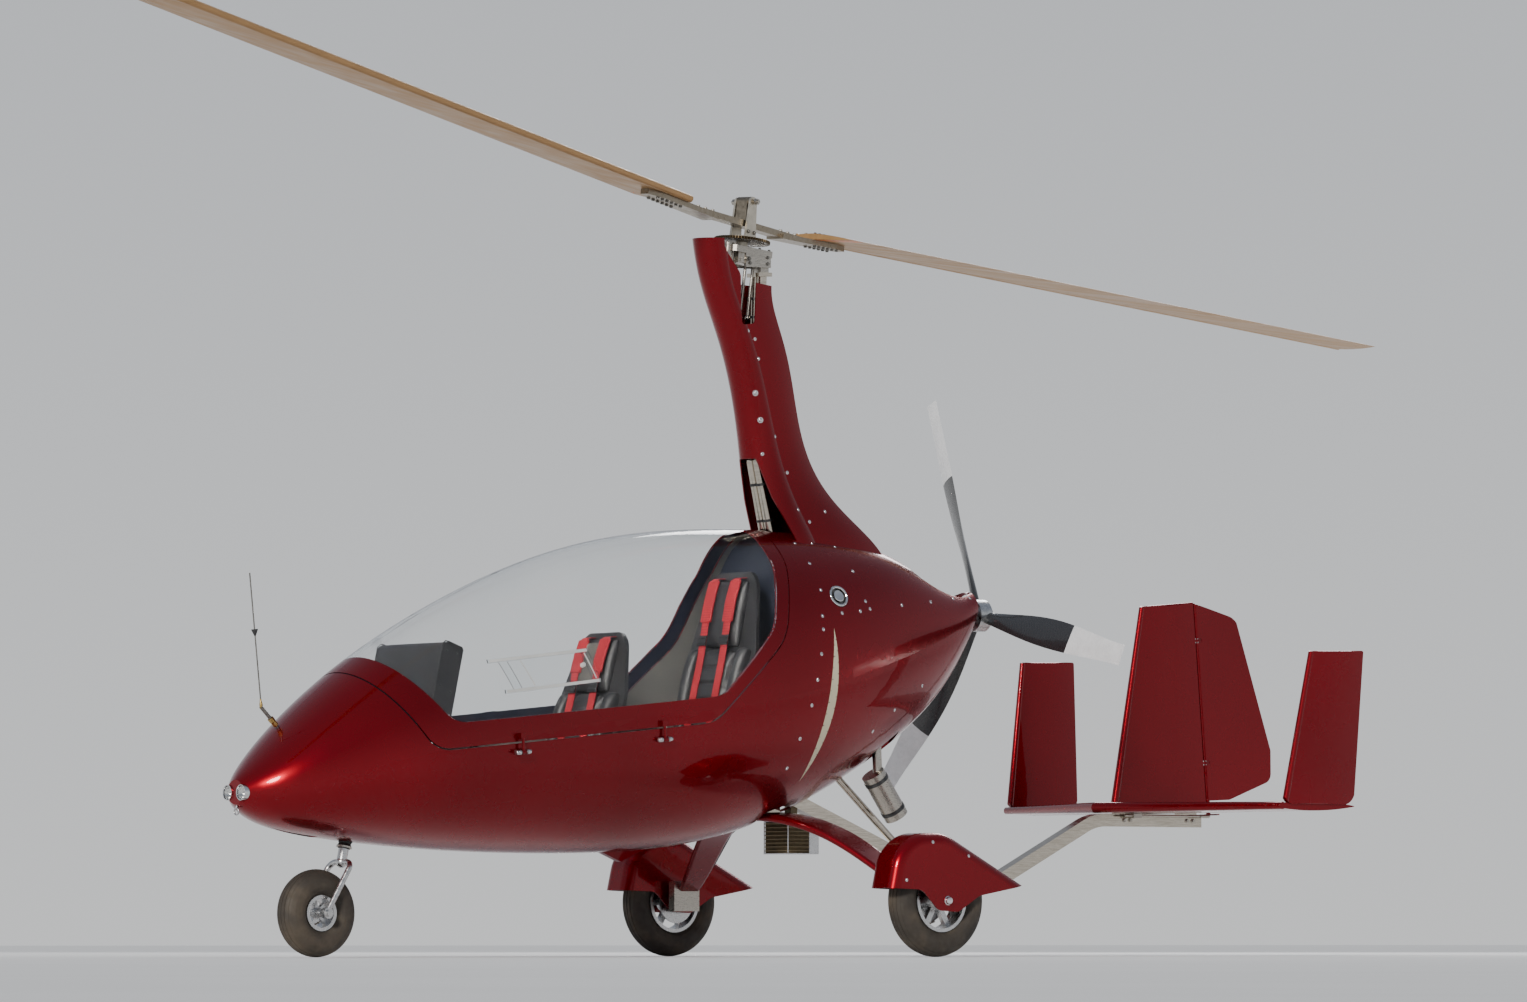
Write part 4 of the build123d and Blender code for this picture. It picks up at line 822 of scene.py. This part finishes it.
bm = bmesh.new()
for k in range(6):
    y, z = polar(0.050, math.radians(60 * k + 18))
    hex_bolt(bm, facing((PROP_X - 0.028, y, PROP_Z + z), (-1, 0, 0)), 0.011, 0.008)
piece("propeller_bolts", bm, brushed, "propeller")

# Keel bolts, muffler bands and the finned cooler

bm = bmesh.new()
side_bolts(bm, [(x, 0.025, 0.5272, 0.012) for x in (-1.845, -1.875, -2.165, -2.195)])
side_bolts(bm, [(-0.784, 0.025, 0.392, 0.012), (-0.105, 0.040, 0.612, 0.012), (-0.140, 0.040, 0.612, 0.012)])
piece("keel_bolts", bm, brushed)
MUFFLER_TOP, MUFFLER_FOOT = Vector((-0.535, 0.105, 0.690)), Vector((-0.650, 0.105, 0.530))
can = (MUFFLER_FOOT - MUFFLER_TOP).normalized()
bm = bmesh.new()
for distance in (0.030, 0.165):
    band(bm, facing(MUFFLER_TOP + can * distance, can), 0.0455, 0.0480, 0.007, 40)
piece("muffler_bands", bm, dark_metal)
COOLER_LOW, COOLER_HIGH = Vector((-0.300, -0.075, 0.385)), Vector((-0.152, 0.075, 0.510))
COOLER_TANK = 0.046
CASE_EDGE = 0.004
FIN_PITCH = 0.0031
low, high = COOLER_LOW, COOLER_HIGH
core_x, core_low, core_high = low.x + COOLER_TANK, low.z + CASE_EDGE, high.z - CASE_EDGE
here = Matrix()
case = bmesh.new()
slab(case, here, low, (core_x, high.y, high.z))
for z0, z1 in ((low.z, core_low), (core_high, high.z)):
    slab(case, here, (core_x + 0.0002, low.y, z0), (high.x, high.y, z1))
for y0, y1 in ((low.y, low.y + CASE_EDGE), (high.y - CASE_EDGE, high.y)):
    slab(case, here, (high.x - CASE_EDGE, y0, core_low + 0.0002), (high.x, y1, core_high - 0.0002))
piece("cooler_case", case, alloy, bevel=0.0012)
bm = bmesh.new()
for k in range(8):
    z = low.z + 0.011 + k * 0.0145
    slab(bm, here, (core_x, low.y + 0.0012, z), (high.x - 0.0012, high.y - 0.0012, z + 0.0035))
for k in range(46):
    y = low.y + 0.005 + k * FIN_PITCH
    slab(bm, here, (core_x, y, core_low), (high.x - 0.005, y + 0.0005, core_high))
for k in range(30):
    x = core_x + 0.003 + k * FIN_PITCH
    for y0, y1 in ((low.y + 0.0035, low.y + 0.005), (high.y - 0.005, high.y - 0.0035)):
        slab(bm, here, (x, y0, core_low), (x + 0.0005, y1, core_high))
slab(bm, here, (-0.240, -0.020, 0.508), (-0.210, 0.020, 0.575))
for y in (-0.055, 0.055):
    lathe(bm, facing((high.x - 0.03, y, high.z), (0, 0, 1)),
          [(0.0002, -0.001), (0.010, -0.001), (0.010, 0.012), (0.0075, 0.014), (0.0075, 0.024),
           (0.0002, 0.024)], 20)
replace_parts(piece("finned_cooler", bm, cooler_fins), "oil_cooler")


# Cabin: pads, belts, lining and instruments

# Each seat: corner of base and back, top of back, front of base, half width, height of shoulder
SEAT_LINES = {
    "front": (mid(0.806, 0.570), mid(0.648, 1.185), mid(1.180, 0.632), 0.175, 0.385),
    "rear": (mid(0.196, 0.676), mid(0.040, 1.420), mid(0.552, 0.728), 0.180, 0.455),
}
OUTER_SEAM = 0.62
CORNER_ROUNDING = 0.38
CLOTH_VOXEL = 0.005
CLOTH_CAP = 0.009
CLOTH_FRAMES = 20
BELT_WIDTH = 0.040
BELT_THICKNESS = 0.0022
CURVE_STEPS = 7


def plane_frame(origin, end, outward):
    """Frame on a seat face: X across to port, Y from origin to end, Z out of the face."""
    along = (end - origin).normalized()
    across = Vector((0, 1, 0))
    out = across.cross(along)
    if out.dot(outward) < 0:
        across, out = -across, -out
    rows = Matrix((across, along, out)).transposed().to_4x4()
    return Matrix.Translation(origin) @ rows


def pad_form(bm, place, centre, size, crown, steps, pinch):
    """Crowned pad with drawn-in sides: width, length and thickness about a point of the face."""
    width, length, thick = size
    place = place @ Matrix.Translation((*centre, 0))
    blend = CORNER_ROUNDING
    tops, bases = [], []
    for i in range(steps + 1):
        for j in range(steps + 1):
            u, v = -math.cos(math.pi * i / steps), -math.cos(math.pi * j / steps)
            round_u = u * math.sqrt(max(0.0, 1 - v * v / 2.6))
            round_v = v * math.sqrt(max(0.0, 1 - u * u / 2.6))
            x = (u * (1 - blend) + round_u * 1.08 * blend) * width / 2 * (1 - pinch * (1 - v * v) * abs(u))
            y = (v * (1 - blend) + round_v * 1.08 * blend) * length / 2 * (1 - pinch * (1 - u * u) * abs(v))
            swell = ((1 - abs(u) ** crown) * (1 - abs(v) ** crown)) ** 0.42
            tops.append(place @ Vector((x, y, thick * (0.28 + 0.72 * swell))))
            bases.append(place @ Vector((x * 0.97, y * 0.97, 0.001)))
    row = steps + 1
    count = row * row
    faces = []
    for i in range(steps):
        for j in range(steps):
            a, b = i * row + j, (i + 1) * row + j
            c, d = b + 1, a + 1
            faces.append((a, b, c, d))
            faces.append((d + count, c + count, b + count, a + count))
    edge = [i * row for i in range(row)] + [steps * row + j for j in range(1, row)]
    edge += [i * row + steps for i in range(steps - 1, -1, -1)] + [j for j in range(steps - 1, 0, -1)]
    for k, a in enumerate(edge):
        b = edge[(k + 1) % len(edge)]
        faces.append((b, a, a + count, b + count))
    merge_in(bm, tops + bases, faces)


def applied(obj):
    """Mesh of an object with its modifiers applied."""
    return bpy.data.meshes.new_from_object(obj.evaluated_get(bpy.context.evaluated_depsgraph_get()))


def blown(mesh):
    """The mesh of a pad remeshed and swollen by cloth pressure, its movement capped."""
    scene = bpy.context.scene
    obj = new_object("blown", mesh)
    remesh = obj.modifiers.new("remesh", "REMESH")
    remesh.mode = "VOXEL"
    remesh.voxel_size = CLOTH_VOXEL
    even = applied(obj)
    obj.modifiers.clear()
    obj.data = even
    rest = [v.co.copy() for v in even.vertices]
    cloth = obj.modifiers.new("cloth", "CLOTH")
    cloth.settings.use_pressure = True
    cloth.settings.uniform_pressure_force = 4.0
    cloth.settings.effector_weights.gravity = 0.0
    for index in range(1, CLOTH_FRAMES + 1):
        scene.frame_set(index)
    swollen = applied(obj)
    for vertex, before in zip(swollen.vertices, rest):
        move = vertex.co - before
        if move.length > CLOTH_CAP:
            vertex.co = before + move * (CLOTH_CAP / move.length)
    scene.frame_set(1)
    bpy.data.objects.remove(obj)
    return swollen


def subdivide(obj):
    smooth = obj.modifiers.new("subdivision", "SUBSURF")
    smooth.levels = smooth.render_levels = 1


def seat_pad(name, place, centre, size, channels, limit, node=None):
    """Sewn seat pad: swollen by cloth, its channels and side seams pressed in afterwards."""
    bm = bmesh.new()
    pad_form(bm, Matrix(), centre, size, 3.2, 18, 0.02)
    mesh = mesh_of(name, bm)
    mesh = blown(mesh)
    (cx, cy), (width, length, thick) = centre, size
    for vertex in mesh.vertices:
        x, y, z = vertex.co
        u, v = (x - cx) / (width / 2), (y - cy) / (length / 2)
        x = cx + max(-limit, min(limit, x - cx))
        if z > thick * 0.35:
            channel = sum(hump(v - mark, 0.030) for mark in channels) if abs(u) < OUTER_SEAM else 0.0
            z -= 0.0075 * min(1.0, channel) + 0.008 * hump(abs(u) - OUTER_SEAM, 0.035)
        vertex.co = place @ Vector((x, y, max(0.0008, z)))
    obj = dressed(name, mesh, seat_leather, "airframe")
    subdivide(obj)
    if node:
        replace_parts(obj, node)


def small_pad(name, place, centre, size, mat=seat_leather, lift=0.0):
    bm = bmesh.new()
    pad_form(bm, place @ Matrix.Translation((0, 0, lift)), centre, size, 2.4, 12, 0.05)
    obj = piece(name, bm, mat, "airframe", 80.0)
    subdivide(obj)


def dress_seat(word):
    """Pads, bolsters, belts and buckle of a seat."""
    corner, top, front, half, shoulder = SEAT_LINES[word]
    back = plane_frame(corner, top, mid(1, 0.2))
    base = plane_frame(corner, front, mid(0, 1))
    depth = (front - corner).length
    height = (top - corner).length
    seat_pad(word + "_base_pad", base, (0, 0.03 + depth / 2), (half * 1.30, depth - 0.03, 0.044),
             (-0.45, 0.0, 0.45), half * 0.68)
    seat_pad(word + "_back_pad", back, (0, 0.055 + shoulder / 2), (half * 1.24, shoulder - 0.045, 0.042),
             (-0.6, -0.3, 0.0, 0.3, 0.6), half * 0.66, word + "_cushion")
    rest = height - shoulder - 0.040
    small_pad(word + "_head_pad", back, (0, shoulder + 0.028 + rest / 2), (0.215, rest, 0.046))
    for side in (1, -1):
        small_pad(f"{word}_back_bolster_{side % 3}", back, (side * half * 0.82, 0.06 + shoulder / 2),
                  (half * 0.34, shoulder - 0.05, 0.058))
        small_pad(f"{word}_base_bolster_{side % 3}", base, (side * half * 0.83, 0.04 + depth / 2),
                  (half * 0.32, depth - 0.05, 0.054))
        belt(word, side, back, base, half, shoulder, depth, height)
    if word == "front":
        small_pad("front_head_face", back, (0, shoulder + 0.036 + rest / 2), (0.150, rest * 0.72, 0.010),
                  grey_leather, 0.040)
    buckle(word, base, depth)


def belt(word, side, back, base, half, shoulder, depth, height):
    """Red shoulder belt from the top of the seat with its padded sleeve and slider, and the lap belt."""
    x = side * 0.066
    line = [(x, height - 0.004, 0.010), (x, height - 0.022, 0.044), (x, height - 0.10, 0.053),
            (x, height * 0.76, 0.054), (x, shoulder - 0.02, 0.050), (x * 1.02, shoulder * 0.70, 0.054),
            (x, shoulder * 0.36, 0.060), (x * 0.80, 0.115, 0.085)]
    points = [back @ Vector(p) for p in line]
    lap = base @ Vector((side * 0.030, depth * 0.42, 0.066))
    across = Vector((0, 1, 0))
    bm = bmesh.new()
    ribbon(bm, smooth_line(points + [lap]), across, BELT_WIDTH, BELT_THICKNESS)
    hips = [(side * half * 0.92, 0.055, 0.052), (side * half * 0.62, 0.09, 0.068),
            (side * half * 0.35, depth * 0.33, 0.066)]
    hips = [base @ Vector(p) for p in hips] + [lap]
    ribbon(bm, smooth_line(hips), base.to_3x3() @ across, BELT_WIDTH, BELT_THICKNESS)
    piece(f"{word}_belt_{side % 3}", bm, red_web, "airframe", 60.0)
    rise = back.to_3x3() @ Vector((0, 0, 0.0030))
    sleeve = bmesh.new()
    ribbon(sleeve, [p + rise for p in smooth_line(points[1:4])], across, 0.060, 0.0090)
    padded = piece(f"{word}_belt_sleeve_{side % 3}", sleeve, red_web, "airframe", 50.0, bevel=0.003)
    slider = bmesh.new()
    middle = (points[3] + points[4]) / 2 + rise
    place = Matrix.Translation(middle) @ back.to_3x3().to_4x4()
    slab(slider, place, (-0.026, -0.019, 0.0), (0.026, 0.019, 0.0045))
    for low in (0.006, -0.012):
        slab(slider, place, (-0.027, low, 0.0045), (0.027, low + 0.006, 0.0075))
    piece(f"{word}_belt_slider_{side % 3}", slider, black, "airframe", bevel=0.0012)


def smooth_line(points):
    """Curve that passes smoothly through a line of points."""
    points = [Vector(p) for p in points]
    ends = [points[0] * 2 - points[1]] + points + [points[-1] * 2 - points[-2]]
    line = []
    for k in range(len(points) - 1):
        a, b, c, d = ends[k:k + 4]
        for step in range(CURVE_STEPS):
            t = step / CURVE_STEPS
            line.append(0.5 * (2 * b + (c - a) * t + (2 * a - 5 * b + 4 * c - d) * t**2
                               + (3 * b - a - 3 * c + d) * t**3))
    return line + [points[-1]]


def buckle(word, base, depth):
    """Round turning buckle where the four belts meet."""
    bm = bmesh.new()
    place = base @ Matrix.Translation((0, depth * 0.43, 0.066))
    lathe(bm, place, [(0.0002, 0.0), (0.030, 0.0), (0.032, 0.004), (0.030, 0.012), (0.020, 0.015),
                      (0.018, 0.019), (0.0002, 0.020)], 32)
    slab(bm, place, (-0.004, -0.028, 0.013), (0.004, 0.028, 0.020))
    piece(word + "_belt_buckle", bm, brushed, bevel=0.001)


dress_seat("front")
dress_seat("rear")


LINING_GAP = 0.0015
NOSE_START = 1.4
NOSE_LENGTH = 0.8


def middle_height(x):
    """Height of the hull's middle at x: level along the cabin and lower in the nose."""
    return 0.95 - 0.36 * max(0.0, min(1.0, (x - NOSE_START) / NOSE_LENGTH))


def to_middle(co):
    """Direction across the hull from a point to its middle."""
    return Vector((0, -co.y, middle_height(co.x) - co.z))


def lining_of(name, node, mat, keep, inward, body="airframe", angle=60.0):
    """Sheet just inside a hollow node, from its faces that keep() accepts, moved along inward()."""
    source, bm, made = nodes[node].data, bmesh.new(), {}
    for polygon in source.polygons:
        if keep(polygon.center, polygon.normal):
            corners = []
            for i in polygon.vertices:
                co = source.vertices[i].co
                key = tuple(round(value, 5) for value in co)
                if key not in made:
                    made[key] = bm.verts.new(co + inward(co).normalized() * LINING_GAP)
                corners.append(made[key])
            if len(set(corners)) == len(corners) and not bm.faces.get(corners):
                bm.faces.new(corners)
    piece(name, bm, mat, body, angle)


def faces_in(centre, normal):
    """Whether a face looks into the hull."""
    return normal.dot(-to_middle(centre)) < -0.02


def cabin_side(centre, normal):
    low = 0.50 if centre.x < NOSE_START else 0.42
    return faces_in(centre, normal) and -0.065 < centre.x < 2.20 and centre.z > low


def firewall_face(centre, normal):
    return normal.x > 0.8 and -0.09 < centre.x < -0.04


lining_of("cabin_side_lining", "fuselage_tub", lining, cabin_side, to_middle)
# The canopy frame's inside and the firewall's front get sheets in the near-black bluish lining: painted shade
# where the cabin lies in shadow.
lining_of("canopy_frame_shade_sheet", "canopy_frame", painted_shade_lining, faces_in, to_middle, "canopy")
lining_of("firewall_shade_sheet", "fuselage_tub", painted_shade_lining, firewall_face, lambda co: mid(1, 0), angle=35.0)

# Instrument panel: dials with ticks and a needle, and switches; grips of the sticks

panel = plane_frame(mid(1.500, 0.850), mid(1.440, 1.120), mid(-1, 0))
rims, dials, marks, caps = bmesh.new(), bmesh.new(), bmesh.new(), bmesh.new()
for x, y, r in ((-0.125, 0.185, 0.040), (0.0, 0.190, 0.044), (0.125, 0.185, 0.040), (-0.150, 0.085, 0.030),
                (-0.075, 0.085, 0.030), (0.0, 0.085, 0.030), (0.150, 0.085, 0.030)):
    place = panel @ Matrix.Translation((x, y, 0.0))
    lathe(rims, place, [(r * 0.86, -0.001), (r, -0.001), (r, 0.004), (r * 0.95, 0.006),
                        (r * 0.86, 0.004)], 32)
    lathe(dials, place, [(0.0002, -0.001), (r * 0.87, -0.001), (r * 0.87, 0.001), (0.0002, 0.001)], 32)
    for k in range(13):
        tick = place @ Matrix.Rotation(math.radians(225 - 22.5 * k), 4, "Z")
        slab(marks, tick, (r * 0.66, -r * 0.012, 0.0009), (r * 0.80, r * 0.012, 0.0013))
    needle = place @ Matrix.Rotation(math.radians(200 - 47 * (x + y) * 20 % 250), 4, "Z")
    taper = [(-r * 0.15, -r * 0.03), (r * 0.62, -r * 0.008), (r * 0.62, r * 0.008), (-r * 0.15, r * 0.03)]
    prism(marks, needle, taper, 0.0018, 0.0024)
for k in range(5):
    place = panel @ Matrix.Translation((-0.040 + k * 0.026, 0.028, 0.0))
    lathe(caps, place, [(0.0002, 0.0), (0.008, 0.0), (0.008, 0.002), (0.0035, 0.004), (0.0025, 0.014),
                        (0.0038, 0.019), (0.0002, 0.021)], 14)
piece("dial_rims", rims, dark_metal)
piece("dial_faces", dials, black)
piece("dial_marks", marks, ivory)
piece("panel_switches", caps, brushed)
bm = bmesh.new()
for x, top in ((1.250, 0.830), (0.625, 0.900)):
    for k in range(5):
        place = Matrix.Translation((x - 0.002 - 0.003 * (1 - k / 5), 0, top - 0.100 + k * 0.020))
        lathe(bm, place, [(0.0002, 0.0), (0.0155, 0.0), (0.0168, 0.004), (0.0168, 0.011), (0.0155, 0.015),
                          (0.0002, 0.015)], 24)
piece("stick_grips", bm, rubber)

# Edge welt of the panel's coaming, and screws on its sides

low_panel, high_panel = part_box("instrument_panel")
bm = bmesh.new()
welt = [(1.584, 0.906), (1.534, 1.134), (1.522, 1.1455), (1.505, 1.1425), (1.448, 1.122), (1.4435, 1.108)]
for side in (1, -1):
    y = (high_panel[1] if side > 0 else low_panel[1]) + side * 0.0003
    tube(bm, [(x, y, z) for x, z in welt], 0.0024, 8)
    for x, z in ((1.470, 1.100), (1.500, 0.960), (1.515, 1.110), (1.545, 0.985)):
        dome_screw(bm, facing((x, y, z), (0, side, 0)), 0.0034)
piece("panel_trim", bm, dark_metal)

# Canopy: pale rails, pane edges and knob of the sliding vent

VENT_RAILS = (((1.401, 1.0707), (0.991, 1.1193)), ((1.353, 0.9607), (0.951, 1.0093)))
pane = skin("vent_window", "canopy_glass")


def on_glass(x, z):
    """Point on the outside of the port glass at a place in side view, and its normal."""
    return cast(pane, (x, 0.9, z), (0, -1, 0))


def vent_strip(bm, first, last, width, thick, steps=16):
    """Flat strip on the glass between two places in side view."""
    spots = []
    for k in range(steps + 1):
        x, z = [a + (b - a) * k / steps for a, b in zip(first, last)]
        location, normal = on_glass(x, z)
        spots.append(location + normal * 0.0002)
    ribbon(bm, spots, (spots[-1] - spots[0]).cross(normal), width, thick)


bm = bmesh.new()
(upper_front, upper_rear), (lower_front, lower_rear) = VENT_RAILS
vent_strip(bm, upper_front, upper_rear, 0.011, 0.0022)
vent_strip(bm, lower_front, lower_rear, 0.011, 0.0022)
piece("vent_rails", bm, pale_plastic, "canopy")
bm = bmesh.new()
for share in (0.30, 0.97):
    top = [a + (b - a) * share for a, b in zip(upper_front, upper_rear)]
    foot = [a + (b - a) * share for a, b in zip(lower_front, lower_rear)]
    vent_strip(bm, (top[0], top[1] - 0.009), (foot[0], foot[1] + 0.009), 0.0045, 0.0014, 8)
piece("vent_pane_edges", bm, pale_plastic, "canopy")
bm = bmesh.new()
location, normal = on_glass(1.020, 1.062)
lathe(bm, facing(location, normal), [(0.0002, 0.0), (0.008, 0.0), (0.009, 0.002), (0.006, 0.004),
                                     (0.0055, 0.009), (0.009, 0.012), (0.008, 0.015), (0.0002, 0.016)], 24)
piece("vent_knob", bm, pale_plastic, "canopy")


# Stage, light and camera

FLOOR_EXTENT = 60.0


def light(name, kind, energy, direction, location=(0, 0, 0)):
    """Lamp that shines along a direction; returns its settings."""
    data = bpy.data.lights.new(name, kind)
    data.energy = energy
    lamp = new_object(name, data)
    lamp.location = location
    lamp.rotation_euler = Vector(direction).to_track_quat("-Z", "Y").to_euler()
    return data


floor_mat, floor_tree = new_material("pale_floor")
feed(floor_mat, {
    "Base Color": tones(floor_tree, noise(floor_tree, 0.8), (0.83, 0.83, 0.82), (0.86, 0.86, 0.85)),
    "Roughness": 0.9,
    "Specular IOR Level": 0.1,
})
far = FLOOR_EXTENT
bm = bmesh.new()
merge_in(bm, [(-far, -far, 0), (far, -far, 0), (far, far, 0), (-far, far, 0)], [(0, 1, 2, 3)])
floor_mesh = mesh_of("floor", bm)
floor_mesh.materials.append(floor_mat)
new_object("floor", floor_mesh)

world = bpy.data.worlds.new("studio")
bpy.context.scene.world = world
world.use_nodes = True
sky_tree = world.node_tree
background = next(n for n in sky_tree.nodes if n.type == "BACKGROUND")
up_down = separate(sky_tree, add(sky_tree, "TexCoord").outputs["Generated"])["Z"]
SKY = [(0.0, (0.74, 0.75, 0.76)), (0.12, (0.60, 0.62, 0.65)), (0.55, (0.27, 0.30, 0.36))]
put(sky_tree, background.inputs["Color"], ramp(sky_tree, up_down, SKY))
put(sky_tree, background.inputs["Strength"], 1.0)

key = light("key", "SUN", 2.8, (-0.74, -0.50, -0.45))
key.angle = math.radians(11)
key.color = (1.0, 0.96, 0.90)
RIM_SPOT = Vector((-8.0, -6.0, 7.0))
rim = light("rim", "AREA", 500.0, mid(-0.5, 1.2) - RIM_SPOT, RIM_SPOT)
rim.shape = "RECTANGLE"
rim.size, rim.size_y = 5.0, 4.0

# The camera stands at floor level, at the angle round the aircraft of the photo
CAMERA_AZIMUTH = math.radians(52.41)
CAMERA_DISTANCE = 31.48
CAMERA_HEIGHT = 0.06
AIM = mid(0.0, 1.71)
FOCAL_PIXELS = 8388.5
FRAME_PIXELS = 1527.0
SENSOR_WIDTH = 36.0
SHIFT_X = 0.013

camera_data = bpy.data.cameras.new("camera")
camera_data.sensor_width = SENSOR_WIDTH
camera_data.lens = FOCAL_PIXELS / FRAME_PIXELS * SENSOR_WIDTH
camera_data.shift_x = SHIFT_X
camera_data.clip_end = 300.0
camera = new_object("camera", camera_data)
camera.location = (*polar(CAMERA_DISTANCE, CAMERA_AZIMUTH), CAMERA_HEIGHT)
camera.rotation_euler = (AIM - camera.location).to_track_quat("-Z", "Y").to_euler()
bpy.context.scene.camera = camera
